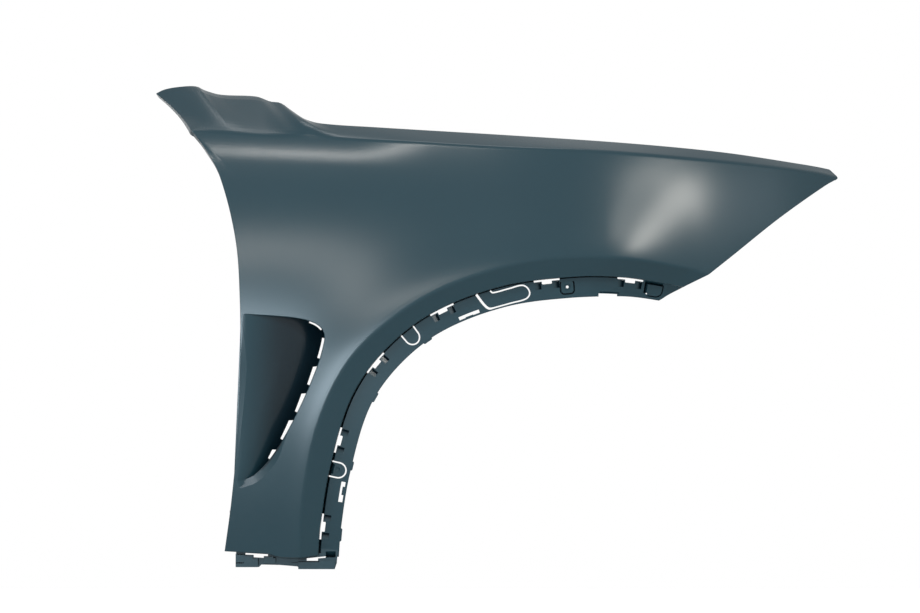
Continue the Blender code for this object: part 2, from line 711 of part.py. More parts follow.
def build_door_tabs():
    """Bolt tabs turned forward from the door edge's return; returns their inboard faces."""
    seats = []
    for number, height in enumerate(TAB_HEIGHTS):
        x = np.interp(height, door_edge.points[:, 1], door_edge.points[:, 0])
        back = skin_depth(x, height) + EDGE_RETURN + 0.001
        left, right = x + 0.001, x + TAB_LENGTH
        low, high = height - TAB_WIDTH / 2, height + TAB_WIDTH / 2
        outline = [(left, low), (right - 0.006, low), (right, low + 0.006), (right, high - 0.006),
                   (right - 0.006, high), (left, high)]
        combine(fender, prism(f"door_tab_{number + 1}", [outline], back - WALL, back), "UNION")
        centre = (x + TAB_LENGTH * 0.58, height)
        hole = slot_outline(centre, BOLT_HOLE, 0.001)
        combine(fender, prism(f"door_hole_{number + 1}", [hole], back - WALL - 0.002, back + 0.01),
                "DIFFERENCE")
        seats.append(Vector((centre[0], back, height + TAB_WIDTH / 2 - 0.0035)))
    return seats


paint = bpy.data.materials.new("primed_moulded_plastic")
paint.use_nodes = True
shader = paint.node_tree.nodes["Principled BSDF"]
shader.inputs["Base Color"].default_value = (0.045, 0.075, 0.095, 1.0)
shader.inputs["Roughness"].default_value = 0.45
shader.inputs["Metallic"].default_value = 0.0
fender.data.materials.append(paint)

cut_vent()
cut_flange()
build_flange_features()
build_trim_flange()
pad_seats = build_bolt_pads()
tab_seats = build_door_tabs()
add_steps()

# The middle pad's seat becomes the origin, and every solid moves with it
anchor = bpy.data.objects.new("hood_line_seat", None)
parts.objects.link(anchor)
for solid in list(parts.objects) + list(cutters.objects):
    if solid is not anchor:
        solid.parent = anchor
anchor.location = -pad_seats[len(pad_seats) // 2]
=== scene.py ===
import math

import bmesh
import bpy
import numpy as np
from mathutils import Matrix, Vector
from mathutils.geometry import interpolate_bezier


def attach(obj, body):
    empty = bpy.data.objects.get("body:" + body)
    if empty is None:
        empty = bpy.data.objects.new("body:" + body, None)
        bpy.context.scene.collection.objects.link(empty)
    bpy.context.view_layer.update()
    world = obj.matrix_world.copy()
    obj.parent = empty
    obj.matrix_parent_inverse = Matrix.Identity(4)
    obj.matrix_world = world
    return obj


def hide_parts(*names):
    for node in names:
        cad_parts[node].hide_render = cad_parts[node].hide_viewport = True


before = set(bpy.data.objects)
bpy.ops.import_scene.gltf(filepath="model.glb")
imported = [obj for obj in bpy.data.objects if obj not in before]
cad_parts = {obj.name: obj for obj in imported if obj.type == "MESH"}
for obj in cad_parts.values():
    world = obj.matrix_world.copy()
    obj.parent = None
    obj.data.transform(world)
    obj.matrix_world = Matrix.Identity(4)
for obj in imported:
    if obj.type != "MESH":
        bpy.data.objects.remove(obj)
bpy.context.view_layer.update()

scene = bpy.context.scene
scene.view_settings.view_transform = "Standard"
bpy.ops.object.select_all(action="DESELECT")

# The view
# The fender is seen square from its outer side and from far off, through a very long lens.
# SEAT is the frame's origin, the middle bolt pad's seat, in a drawing of the fender from the side
# that starts at the wheel's centre.
SEAT = Vector((-0.06169, 0.139186, 0.648391))
PHOTO_WIDTH = 920
PHOTO_HEIGHT = 613
PIXEL_SIZE = 0.0017
WHEEL_PIXEL = (580, 525)
CAMERA_DISTANCE = 40.0
TRUE_DEPTH = 0.12  # how far behind the drawing lengths show at their true size
SENSOR = 36.0

bpy.ops.object.camera_add()
camera = bpy.context.object
scene.camera = camera
camera.location = Vector(((PHOTO_WIDTH / 2 - WHEEL_PIXEL[0]) * PIXEL_SIZE, -CAMERA_DISTANCE,
                          (WHEEL_PIXEL[1] - PHOTO_HEIGHT / 2) * PIXEL_SIZE)) - SEAT
camera.rotation_euler = (math.radians(90), 0, 0)
camera.data.sensor_width = SENSOR
camera.data.lens = SENSOR * (CAMERA_DISTANCE + TRUE_DEPTH) / (PHOTO_WIDTH * PIXEL_SIZE)
camera.data.clip_start = 1.0
camera.data.clip_end = 200.0

# The skin
# The fender's outer skin sweeps from the door to the headlight over the wheel opening. It is
# injection moulded in one piece with its turned-in edges and the flange in the wheel opening,
# so the skin starts as one fine grid that is laid over the same curves as the solid part.
ARCH_EDGE = [(-0.445, -0.051), (-0.441, 0.0), (-0.425, 0.097), (-0.389, 0.216),
             (-0.333, 0.296), (-0.252, 0.360), (-0.136, 0.405), (-0.017, 0.4216),
             (0.068, 0.4216), (0.145, 0.4106), (0.175, 0.404)]
ARCH_CREASE = [(-0.476, -0.055), (-0.471, 0.042), (-0.445, 0.170), (-0.391, 0.280),
               (-0.306, 0.360), (-0.204, 0.415), (-0.068, 0.4505), (0.068, 0.453),
               (0.187, 0.435), (0.218, 0.425)]
LEG_BOTTOM = [(-0.476, -0.055), (-0.510, -0.0535), (-0.530, -0.0485), (-0.6035, -0.044)]
DOOR_EDGE = [(-0.6035, -0.044), (-0.592, 0.042), (-0.581, 0.161), (-0.577, 0.280),
             (-0.5775, 0.380), (-0.585, 0.4845), (-0.612, 0.593), (-0.639, 0.6425),
             (-0.6605, 0.6707)]
SHOULDER = [(-0.6605, 0.6707), (-0.510, 0.662), (-0.3315, 0.6535), (-0.136, 0.6425),
            (0.034, 0.636), (0.204, 0.622), (0.330, 0.609), (0.410, 0.5985),
            (0.4425, 0.5905)]
HOOD_EDGE = [(-0.7225, 0.7345), (-0.708, 0.7415), (-0.680, 0.7463), (-0.653, 0.7468),
             (-0.640, 0.7405), (-0.612, 0.7327), (-0.551, 0.7295), (-0.527, 0.721),
             (-0.510, 0.7185), (-0.493, 0.707), (-0.470, 0.6915), (-0.442, 0.6834),
             (-0.347, 0.6766), (-0.122, 0.663), (0.082, 0.6494), (0.245, 0.634),
             (0.381, 0.614), (0.410, 0.609), (0.4265, 0.6055)]
HEADLIGHT_EDGE = [(0.218, 0.425), (0.2584, 0.457), (0.340, 0.522), (0.4189, 0.5775),
                  (0.4425, 0.5905)]
SWEEP_START = -0.180
NOSE_X = 0.442
NOSE_DEPTH = 0.190
NOSE_POWER = 2.4
DOOR_X = -0.580
DOOR_DEPTH = 0.012
WAIST_Z = 0.250
SHOULDER_Z = 0.650
SHOULDER_DEPTH = 0.062
SHOULDER_POWER = 2.6
SILL_Z = -0.050
SILL_DEPTH = 0.020
FLARE_HEIGHT = 0.013
FLARE_REACH = 0.075
FLARE_POWER = 1.6
FLARE_FADE = 0.9
FADE_START = 0.040
FADE_END = 0.200
PILLAR_TOP_DEPTH = 0.108
HOOD_TOP_DEPTH = 0.044
NOSE_TOP_DEPTH = 0.010
PILLAR_END_X = -0.540
HOOD_START_X = -0.450
TOP_POWER = 1.08
SHOULDER_ROLL = 0.0045
ROLL_REACH = 0.050
ROLL_ENDS = (-0.400, -0.240)
LIP_DEPTH = 0.006
LIP_UP = 0.88
LIP_SHARES = (0.04, 0.07, 0.135, 0.175)
PILLAR_TURN = 0.006
PILLAR_BOW = 0.006
PILLAR_SHARE = 0.06
BAND_DEPTH = 0.012
FLANGE_STEP = 0.014
FLANGE_WIDTH = 0.0355
FLANGE_END_WIDTH = 0.031
FLANGE_TIP_BACK = 0.0365
EDGE_CLEARANCE = 0.0008
WALL = 0.003
EDGE_RETURN = 0.013
HOOD_DROP = 0.014
HOOD_FLANGE = 0.028
TIP_RETURN = 0.3
TIP_REACH = 0.070
CORNER_SHARE = 0.42
CREASE_ROUND = 0.004
SHOULDER_ROUND = 0.006
DOOR_COLUMNS = 130
HOOD_COLUMNS = 200
FLANGE_ROWS = 9
BAND_ROWS = 8
SKIN_ROWS = 62
TOP_ROWS = 14
NEAR_CREASE = (0.0013, 0.0027, 0.0042)
NEAR_SHOULDER = (0.002, 0.004, 0.006)
DOOR_SPREAD = 2.8
RIM_ROOM = 0.0050
EDGE_RADIUS = 0.0009
BEVEL_ANGLE = 40
BAND_FADE = 0.6
BAND_SHARES = (0.85, 1.0)
FRONT_SHARES = (0.8, 1.0)
LIP_POWER = 1.5
TURN_UP = 0.4
WAY_REACH = 0.002
ACROSS_STEPS = 120
ACROSS_POWER = 1.25
TOP_STEPS = 60
TOP_EDGE_ROOM = 1.8
CORNER_EASE = 0.05
CORNER_COLUMNS = 8
BATCH = 2000


class Path:
    """A smooth curve through points (x, z), read by distance or by share of its length."""

    def __init__(self, points, steps=33):
        knots = [Vector((x, 0, z)) for x, z in points]
        line = []
        for i in range(len(knots) - 1):
            start, end = knots[i], knots[i + 1]
            before = knots[max(i - 1, 0)]
            after = knots[min(i + 2, len(knots) - 1)]
            reach = (end - start).length / 3
            lead = start + (end - before).normalized() * reach
            trail = end - (after - start).normalized() * reach
            line += interpolate_bezier(start, lead, trail, end, steps)[:-1]
        line.append(knots[-1])
        self.points = np.array([(p.x, p.z) for p in line])
        sides = np.linalg.norm(np.diff(self.points, axis=0), axis=1)
        self.run = np.concatenate([[0.0], np.cumsum(sides)])
        self.length = self.run[-1]

    def along(self, distance):
        return np.stack((np.interp(distance, self.run, self.points[:, 0]),
                         np.interp(distance, self.run, self.points[:, 1])), axis=-1)

    def at(self, share):
        return self.along(np.asarray(share) * self.length)

    def side(self, distance):
        """The unit vector to the right of the curve's way; on the arch it points at the wheel."""
        ahead = self.along(min(distance + WAY_REACH, self.length))
        behind = self.along(max(distance - WAY_REACH, 0.0))
        way = (ahead - behind) / np.linalg.norm(ahead - behind)
        return np.array((way[1], -way[0]))

    def gap(self, x, z):
        """How far points lie from the curve."""
        start = self.points[:-1]
        step = np.diff(self.points, axis=0)
        square = (step * step).sum(axis=1)
        flat = np.stack((np.ravel(x), np.ravel(z)), axis=-1)
        near = np.empty(len(flat))
        for first in range(0, len(flat), BATCH):
            away = flat[first:first + BATCH, None, :] - start
            share = np.clip((away * step).sum(axis=2) / square, 0, 1)
            rest = away - step * share[:, :, None]
            near[first:first + BATCH] = np.sqrt((rest * rest).sum(axis=2).min(axis=1))
        return near.reshape(np.shape(x))


arch = Path(ARCH_EDGE)
crease = Path(ARCH_CREASE)
leg_bottom = Path(LEG_BOTTOM)
door_edge = Path(DOOR_EDGE)
shoulder = Path(SHOULDER)
hood_edge = Path(HOOD_EDGE)
headlight_edge = Path(HEADLIGHT_EDGE)


def rise(value, start, end):
    """0 before start, 1 after end, and a smooth rise between."""
    share = np.clip((value - start) / (end - start), 0.0, 1.0)
    return share * share * (3 - 2 * share)


def shoulder_roll(x, z):
    """The extra roll inboard just below the shoulder, behind the hood's rear corner."""
    top = np.interp(x, shoulder.points[:, 0], shoulder.points[:, 1])
    near = np.maximum(0.0, (z - top + ROLL_REACH) / ROLL_REACH)
    return SHOULDER_ROLL * near ** 2 * (1 - rise(x, *ROLL_ENDS))


def skin_depth(x, z):
    """How far inboard the outer skin lies, below the shoulder crease."""
    x, z = np.asarray(x, float), np.asarray(z, float)
    sweep = np.maximum(0.0, (x - SWEEP_START) / (NOSE_X - SWEEP_START))
    rear = np.maximum(0.0, (SWEEP_START - x) / (SWEEP_START - DOOR_X))
    lean = np.maximum(0.0, (z - WAIST_Z) / (SHOULDER_Z - WAIST_Z))
    tuck = np.maximum(0.0, (WAIST_Z - z) / (WAIST_Z - SILL_Z))
    flare = np.exp(-(crease.gap(x, z) / FLARE_REACH) ** FLARE_POWER)
    flare = flare * (1 - FLARE_FADE * rise(x, FADE_START, FADE_END))
    depth = NOSE_DEPTH * sweep ** NOSE_POWER + DOOR_DEPTH * rear ** 2 + shoulder_roll(x, z)
    depth = depth + SHOULDER_DEPTH * lean ** SHOULDER_POWER + SILL_DEPTH * tuck ** 2
    return depth + FLARE_HEIGHT * (1 - flare)


def top_points(share, up):
    """Points of the band from the shoulder crease up to the hood line."""
    up = np.asarray(up, float)
    low = shoulder.at(share)
    side = low + (hood_edge.at(share) - low) * up[..., None]
    rearmost = 1 - rise(share, 0, PILLAR_SHARE)
    side = side + np.stack((4 * PILLAR_BOW * rearmost * up * (1 - up), 0 * up), axis=-1)
    behind = rise(side[..., 0], PILLAR_END_X, HOOD_START_X)
    ahead = rise(side[..., 0], SWEEP_START, NOSE_X)
    hood = HOOD_TOP_DEPTH + (NOSE_TOP_DEPTH - HOOD_TOP_DEPTH) * ahead
    reach = PILLAR_TOP_DEPTH + (hood - PILLAR_TOP_DEPTH) * behind
    roll = shoulder_roll(low[0], low[1])
    lip = rise(share, *LIP_SHARES[:2]) * (1 - rise(share, *LIP_SHARES[2:]))
    depth = skin_depth(low[0], low[1]) + (reach - roll) * up ** TOP_POWER
    depth = depth + LIP_DEPTH * lip * np.maximum(0, (up - LIP_UP) / (1 - LIP_UP)) ** LIP_POWER
    depth = depth + PILLAR_TURN * rearmost ** 2 * rise(up, 0, TURN_UP)
    return np.stack((side[..., 0], depth, side[..., 1]), axis=-1)


def edge_depth(share):
    """How far inboard the arch edge lies, at a share of the arch."""
    at = crease.at(share)
    return skin_depth(at[0], at[1]) + BAND_DEPTH * (1 - BAND_FADE * rise(share, *BAND_SHARES))


def on_arch(distance, inset):
    """The point at a distance along the arch edge, inset toward the wheel."""
    return arch.along(distance) + arch.side(distance) * inset


def rounded(line, stations, radii):
    """Points at stations along a line of points, with its corners eased over their radii."""
    run = np.concatenate([[0.0], np.cumsum(np.linalg.norm(np.diff(line, axis=0), axis=1))])
    halves = (line[1:] + line[:-1]) / 2 * np.diff(run)[:, None]
    area = np.concatenate([np.zeros((1, 3)), np.cumsum(halves, axis=0)])

    def point(s):
        return np.stack([np.interp(s, run, line[:, k]) for k in range(3)], axis=-1)

    def total(s):
        s = np.clip(s, 0, run[-1])
        index = np.clip(np.searchsorted(run, s) - 1, 0, len(run) - 2)
        part = (s - run[index])[:, None]
        return area[index] + (line[index] + point(s)) / 2 * part

    stations = np.asarray(stations)
    radii = np.asarray(radii)
    return (total(stations + radii) - total(stations - radii)) / (2 * radii)[:, None]


CREASE_ROW = FLANGE_ROWS + 1 + BAND_ROWS + len(NEAR_CREASE)
FOOT_ROW = FLANGE_ROWS
EDGE_ROW = FOOT_ROW + 1
SHOULDER_ROW = CREASE_ROW + len(NEAR_CREASE) + SKIN_ROWS + len(NEAR_SHOULDER)
HOOD_ROW = SHOULDER_ROW + len(NEAR_SHOULDER) + TOP_ROWS
COLUMNS = DOOR_COLUMNS + HOOD_COLUMNS
NO_ROUND = 0.0001


def column_points(column):
    """The grid's points up one column, from the flange's inner edge to the outer edge."""
    room = RIM_ROOM / arch.length
    if column <= DOOR_COLUMNS:
        share = np.interp(column, (0, 1, DOOR_COLUMNS), (0, room, CORNER_SHARE))
        outer = door_edge.at(share / CORNER_SHARE)
        hood_share = 0.0
    else:
        share = np.interp(column, (DOOR_COLUMNS, COLUMNS - 1, COLUMNS), (CORNER_SHARE, 1 - room, 1))
        hood_share = (share - CORNER_SHARE) / (1 - CORNER_SHARE)
        outer = shoulder.at(hood_share)
    run = share * arch.length
    depth = edge_depth(share)

    # The flange, then the step out to the arch edge
    front = rise(share, *FRONT_SHARES)
    width = FLANGE_WIDTH + (FLANGE_END_WIDTH - FLANGE_WIDTH) * front
    points = []
    room = RIM_ROOM / width
    for back in np.concatenate([[1.0], np.linspace(1 - room, room, FLANGE_ROWS - 1), [0.0]]):
        x, z = on_arch(run - FLANGE_TIP_BACK * front * back,
                       EDGE_CLEARANCE / 2 + (width - EDGE_CLEARANCE / 2) * back)
        points.append((x, depth + FLANGE_STEP, z))

    # The skin between the arch crease and the door edge or the shoulder
    across = np.linspace(0, 1, ACROSS_STEPS) ** ACROSS_POWER
    inner = crease.at(share)
    ruled = inner + (outer - inner) * across[:, None]
    leg, lamp = leg_bottom.at(across), headlight_edge.at(across)
    ends = leg * (1 - share) + lamp * share
    low, high = [leg_bottom.at(end) * (1 - share) + headlight_edge.at(end) * share
                 for end in (0, 1)]
    corners = low * (1 - across)[:, None] + high * across[:, None]
    flat = ruled + ends - corners
    skin = np.stack((flat[:, 0], skin_depth(flat[:, 0], flat[:, 1]), flat[:, 1]), axis=-1)
    edge = arch.along(run)
    line = [np.array([(edge[0], depth, edge[1])]), skin]
    if column >= DOOR_COLUMNS:
        line.append(top_points(hood_share, np.linspace(0, 1, TOP_STEPS))[1:])
    line = np.concatenate(line)
    lengths = np.linalg.norm(np.diff(line, axis=0), axis=1)
    band = lengths[0]
    mid = lengths[:len(skin)].sum()
    full = lengths.sum()

    near_crease = np.array(NEAR_CREASE)
    near_shoulder = np.array(NEAR_SHOULDER) * (1 if column > DOOR_COLUMNS else DOOR_SPREAD)
    lower = np.concatenate([[0.0], np.linspace(RIM_ROOM, band - near_crease[-1], BAND_ROWS),
                            band - near_crease[-2::-1], [band], band + near_crease[:-1]])
    upper = np.concatenate([np.linspace(band + near_crease[-1], mid - near_shoulder[-1],
                                        SKIN_ROWS + 1), mid - near_shoulder[-2::-1], [mid]])
    stations = np.concatenate([lower, upper])
    radii = np.full(len(stations), NO_ROUND)
    radii[np.abs(stations - band) < CREASE_ROUND] = CREASE_ROUND
    if column >= DOOR_COLUMNS:
        rows = np.linspace(mid + near_shoulder[-1], full - TOP_EDGE_ROOM * RIM_ROOM, TOP_ROWS - 1)
        top = np.concatenate([mid + near_shoulder, rows[1:], [full - RIM_ROOM, full]])
        from_corner = rise(column, DOOR_COLUMNS, DOOR_COLUMNS + CORNER_COLUMNS)
        ease = SHOULDER_ROUND * (CORNER_EASE + (1 - CORNER_EASE) * from_corner)
        stations = np.concatenate([stations, top])
        radii = np.concatenate([radii, np.full(len(top), NO_ROUND)])
        radii[np.abs(stations - mid) < SHOULDER_ROUND] = ease
    eased = rounded(line, np.clip(stations, NO_ROUND, full - NO_ROUND), radii)
    eased[[0, -1]] = line[[0, -1]]
    return np.concatenate([np.array(points), eased])


bpy.ops.mesh.primitive_grid_add(x_subdivisions=COLUMNS, y_subdivisions=HOOD_ROW, size=2)
fender = bpy.context.object
fender.name = "moulded_fender"
bm = bmesh.new()
bm.from_mesh(fender.data)
column_of = bm.verts.layers.int.new("column")
row_of = bm.verts.layers.int.new("row")
inward_of = bm.verts.layers.float_vector.new("inward")
places = [column_points(column) for column in range(COLUMNS + 1)]
spare = []
for vert in bm.verts:
    vert[column_of] = round((vert.co.x + 1) / 2 * COLUMNS)
    vert[row_of] = round((vert.co.y + 1) / 2 * HOOD_ROW)
    if vert[row_of] < len(places[vert[column_of]]):
        vert.co = places[vert[column_of]][vert[row_of]]
    else:
        spare.append(vert)
bmesh.ops.delete(bm, geom=spare, context="VERTS")
bm.normal_update()
if sum(face.normal.y for face in bm.faces) > 0:
    bmesh.ops.reverse_faces(bm, faces=bm.faces)
    bm.normal_update()
for vert in bm.verts:
    vert[inward_of] = -vert.normal

# The rim turns inward all round, apart from the flange in the wheel opening
feet = {v[column_of]: v for v in bm.verts if v[row_of] == FOOT_ROW and v.is_boundary}
rim = [e for e in bm.edges if e.is_boundary and min(v[row_of] for v in e.verts) >= EDGE_ROW]
made = bmesh.ops.extrude_edge_only(bm, edges=rim)["geom"]
turned = [v for v in made if isinstance(v, bmesh.types.BMVert)]
tip = Vector(places[COLUMNS][HOOD_ROW])
for vert in turned:
    on_hood = vert[row_of] == HOOD_ROW and vert[column_of] > DOOR_COLUMNS
    reach = HOOD_DROP if on_hood else EDGE_RETURN
    from_tip = rise((vert.co - tip).length, 0, TIP_REACH)
    if vert[column_of] == 0:
        vert.co.y = feet[0].co.y
    else:
        vert.co += vert[inward_of] * float(reach * (TIP_RETURN + (1 - TIP_RETURN) * from_tip))

# The hood flange goes level inboard, square to the foot of the drop as seen from above
FLANGE_FIRST = 10
FLANGE_LAST = 8
PLAN_SPAN = 14
first = DOOR_COLUMNS + FLANGE_FIRST
last = COLUMNS - FLANGE_LAST
drop = {v[column_of]: v for v in turned if v[row_of] == HOOD_ROW and first <= v[column_of] <= last}
hood_feet = set(drop.values())
foot = [e for e in bm.edges if e.is_boundary and all(v in hood_feet for v in e.verts)]
outward = {}
for column, vert in drop.items():
    behind = drop[max(column - PLAN_SPAN, first)].co
    ahead = drop[min(column + PLAN_SPAN, last)].co
    outward[column] = Vector((behind.y - ahead.y, ahead.x - behind.x, 0)).normalized()
for share in (0.5, 1.0):
    made = bmesh.ops.extrude_edge_only(bm, edges=foot)["geom"]
    foot = [e for e in made if isinstance(e, bmesh.types.BMEdge) and e.is_boundary
            and abs(e.verts[0][column_of] - e.verts[1][column_of]) == 1]
    for vert in made:
        if isinstance(vert, bmesh.types.BMVert):
            vert.co += outward[vert[column_of]] * (HOOD_FLANGE / 2)
ends = {v: feet[v[column_of]] for v in turned if v[row_of] == EDGE_ROW}
bmesh.ops.weld_verts(bm, targetmap=ends)
bm.to_mesh(fender.data)
bm.free()


def use(target, kind, **settings):
    """Add a modifier to an object with its settings, and apply it."""
    bpy.context.view_layer.objects.active = target
    step = target.modifiers.new(kind.lower(), kind)
    for key, value in settings.items():
        setattr(step, key, value)
    bpy.ops.object.modifier_apply(modifier=step.name)


use(fender, "SOLIDIFY", thickness=WALL, offset=-1, use_even_offset=True, use_quality_normals=True)
use(fender, "BEVEL", width=EDGE_RADIUS, segments=2, limit_method="ANGLE",
    angle_limit=math.radians(BEVEL_ANGLE), use_clamp_overlap=False)

# Solids that shape the skin
# Each recess, slot, pad and tab is a closed solid that is joined to the fender or cut from it.
# In the mould these are slides and inserts, and here they are lofted from rings of points.
SAME_PLACE = 0.000001


def loft(name, rings):
    """A closed solid through rings of points, with its two ends filled."""
    count, last = len(rings[0]), len(rings) - 1
    bpy.ops.mesh.primitive_grid_add(x_subdivisions=last, y_subdivisions=count, size=2)
    solid = bpy.context.object
    solid.name = name
    for vert in solid.data.vertices:
        station = round((vert.co.x + 1) / 2 * last)
        vert.co = rings[station][round((vert.co.y + 1) / 2 * count) % count]
    bpy.ops.object.mode_set(mode="EDIT")
    bpy.ops.mesh.select_all(action="SELECT")
    bpy.ops.mesh.remove_doubles(threshold=SAME_PLACE)
    bpy.ops.mesh.fill_holes(sides=0)
    bpy.ops.mesh.select_all(action="SELECT")
    bpy.ops.mesh.normals_make_consistent(inside=False)
    bpy.ops.object.mode_set(mode="OBJECT")
    return solid


def prism(name, outline, near, far, upright=False):
    """A solid between two depths from an outline (x, z), or two heights from one (x, y)."""
    if upright:
        return loft(name, [[(x, y, level) for x, y in outline] for level in (near, far)])
    return loft(name, [[(x, level, z) for x, z in outline] for level in (near, far)])


def combine(solids, operation):
    """Unite solids that may overlap, then join the whole to the fender or cut it out."""
    bpy.ops.object.select_all(action="DESELECT")
    for solid in solids[1:]:
        solid.select_set(True)
    bpy.context.view_layer.objects.active = solids[1]
    bpy.ops.object.join()
    tool = bpy.context.object
    use(tool, "BOOLEAN", operation="UNION", solver="EXACT", object=solids[0], use_self=True)
    bpy.data.objects.remove(solids[0], do_unlink=True)
    use(fender, "BOOLEAN", operation=operation, solver="EXACT", object=tool)
    bpy.data.objects.remove(tool, do_unlink=True)


# The recess behind the wheel
# A moulded tray that falls away from the door edge to a front wall in shade; its floor and wall are
# also painted darker away from the door edge, as painted shade. The skin rolls over into it, widely
# at the lower border, and narrow slots along the front let air through.
VENT_BORDER = [(-0.570, 0.3583), (-0.5644, 0.358), (-0.493, 0.353), (-0.4624, 0.3475),
               (-0.4435, 0.3385), (-0.4345, 0.3250), (-0.4355, 0.3080), (-0.447, 0.2685),
               (-0.479, 0.194), (-0.5185, 0.124), (-0.5525, 0.086), (-0.578, 0.0755),
               (-0.582, 0.0750)]
VENT_REAR = [(-0.5725, 0.358), (-0.5845, 0.0755)]
VENT_SLOPE = 0.21
VENT_EASE = 0.005
VENT_DIVE = 0.022
VENT_DIVE_REACH = 0.068
RECESS_REACH = 0.075
VENT_STATIONS = 150
VENT_ACROSS = 20
VENT_BEHIND = 0.003
VENT_OUTSIDE = -0.04
ROLL_NARROW = 0.0016
ROLL_WIDE = 0.0125
ROLL_DEEP = 0.0055
ROLL_SHARES = (0.70, 0.86)
ROLL_TURNS = (0, 12, 24, 36, 48, 60, 72)
VENT_SLOTS = [(0.1116, 0.0255, 0.0030, 0.0030), (0.1533, 0.0355, 0.0042, 0.0045),
              (0.2030, 0.0342, 0.0062, 0.0045), (0.2524, 0.0355, 0.0070, 0.0045),
              (0.3030, 0.0377, 0.0066, 0.0042), (0.3608, 0.0194, 0.0060, 0.0034)]
VENT_SLOT_SLANT = 0.0035
VENT_SLOT_INSET = 0.0003
TRAY_INSIDE = 0.3
TRAY_BACK = 0.85
VENT_SPREAD = 0.8
VENT_REAR_EASE = 3
ROLL_PAST = 0.003
ROLL_CLEAR = 0.0005
VENT_SLOT_STEPS = 9
VENT_SLOT_TAPER = 0.002
VENT_SLOT_START = 0.005
VENT_SLOT_END = 0.12

border = Path(VENT_BORDER)
rear_top, rear_low = np.array(VENT_REAR)
front_wall = border.points[np.argmax(border.points[:, 0]):]


def vent_place(x, z):
    """The share of the recess's height, how far past its rear edge, and its front wall's x."""
    share = (z - rear_low[1]) / (rear_top[1] - rear_low[1])
    past = x - rear_low[0] - (rear_top[0] - rear_low[0]) * share
    return share, past, np.interp(-z, -front_wall[:, 1], front_wall[:, 0])


def vent_floor(x, z):
    """How far inboard the recess floor lies."""
    share, past, front = vent_place(x, z)
    eased = past - VENT_EASE
    sink = VENT_SLOPE / 2 * (eased + math.hypot(eased, VENT_EASE))
    sink -= VENT_SLOPE / 2 * (math.hypot(VENT_EASE, VENT_EASE) - VENT_EASE)
    near = max(0.0, 1 - (float(front) - x) / VENT_DIVE_REACH)
    sink += VENT_DIVE * near ** 2 * float(rise(past, 0.0, VENT_DIVE_REACH))
    return skin_depth(x, z) + (sink if past > 0 else past * VENT_SLOPE / VENT_REAR_EASE)


opening_rings, tray_rings = [], []
for station in range(VENT_STATIONS + 1):
    share = station / VENT_STATIONS
    distance = share * border.length
    front = border.along(distance)
    rear = rear_top + (rear_low - rear_top) * share - np.array((VENT_BEHIND, 0))
    away = -border.side(distance)
    roll = rise(share, *ROLL_SHARES)
    wide = ROLL_NARROW + (ROLL_WIDE - ROLL_NARROW) * roll
    deep = ROLL_NARROW + (ROLL_DEEP - ROLL_NARROW) * roll
    opening, tray = [], []
    for across in np.linspace(0, 1, VENT_ACROSS) ** VENT_SPREAD:
        x, z = rear + (front - rear) * across
        opening.append((x, float(vent_floor(x, z)), z))
        tray.append((x, float(max(vent_floor(x, z), skin_depth(x, z))) + WALL * TRAY_BACK, z))
    floor_end = opening[-1][1]
    corner = front + away * WALL
    tray[-1] = (corner[0], floor_end + WALL * TRAY_BACK, corner[1])
    for degrees in ROLL_TURNS:
        flat = degrees / ROLL_TURNS[-1]
        turn = math.radians(degrees)
        out = wide * ((1 - math.cos(turn)) * (1 - roll) + flat * roll)
        down = deep * ((1 - math.sin(turn)) * (1 - roll) + (1 - flat) * roll)
        x, z = front + away * out
        start = float(skin_depth(x, z))
        opening.append((x, min(start + down, floor_end), z))
        x, z = front + away * (out + WALL * math.cos(turn))
        start = float(skin_depth(x, z))
        tray.append((x, min(start + down + WALL * TRAY_BACK * math.sin(turn),
                            floor_end + WALL * TRAY_BACK), z))
    x, z = front + away * (out + ROLL_PAST)
    start = float(skin_depth(x, z))
    opening += [(x, start + down - ROLL_PAST * deep / wide - ROLL_CLEAR, z), (x, VENT_OUTSIDE, z),
                (rear[0], VENT_OUTSIDE, rear[1])]
    middle = front + away * (out + WALL / 2)
    for across in np.linspace(1, 0, VENT_ACROSS):
        inner = rear + (middle - rear) * across
        tray.append((inner[0], float(skin_depth(*inner)) + WALL * TRAY_INSIDE, inner[1]))
    opening_rings.append(opening)
    tray_rings.append(tray)
vent_tray = loft("vent_tray", tray_rings)
vent_opening = loft("vent_opening", opening_rings)


def ribbon(line, width):
    """The outline of a slot along a line of points, of one width or of a width at each point."""
    line = [np.array(p, float) for p in line]
    left, right = [], []
    for i, point in enumerate(line):
        way = line[min(i + 1, len(line) - 1)] - line[max(i - 1, 0)]
        normal = np.array((-way[1], way[0])) / np.linalg.norm(way)
        half = (width[i] if isinstance(width, list) else width) / 2
        left.append(point + normal * half)
        right.append(point - normal * half)
    return left + right[::-1]


vent_slots = []
for start, length, wide, narrow in VENT_SLOTS:
    outer = [border.along(d) + border.side(d) * VENT_SLOT_INSET
             for d in np.linspace(start, start + length, VENT_SLOT_STEPS)]
    slant = VENT_SLOT_SLANT * min(1.0, (wide - narrow) / VENT_SLOT_TAPER)
    inner = []
    for share in np.linspace(0, 1, VENT_SLOT_STEPS):
        d = start + slant + (length - slant) * share
        inner.append(border.along(d) + border.side(d) * (wide + (narrow - wide) * share))
    near = float(skin_depth(*outer[VENT_SLOT_STEPS // 2])) + VENT_SLOT_START
    vent_slots.append(prism("vent_slot", outer + inner[::-1], near, VENT_SLOT_END))

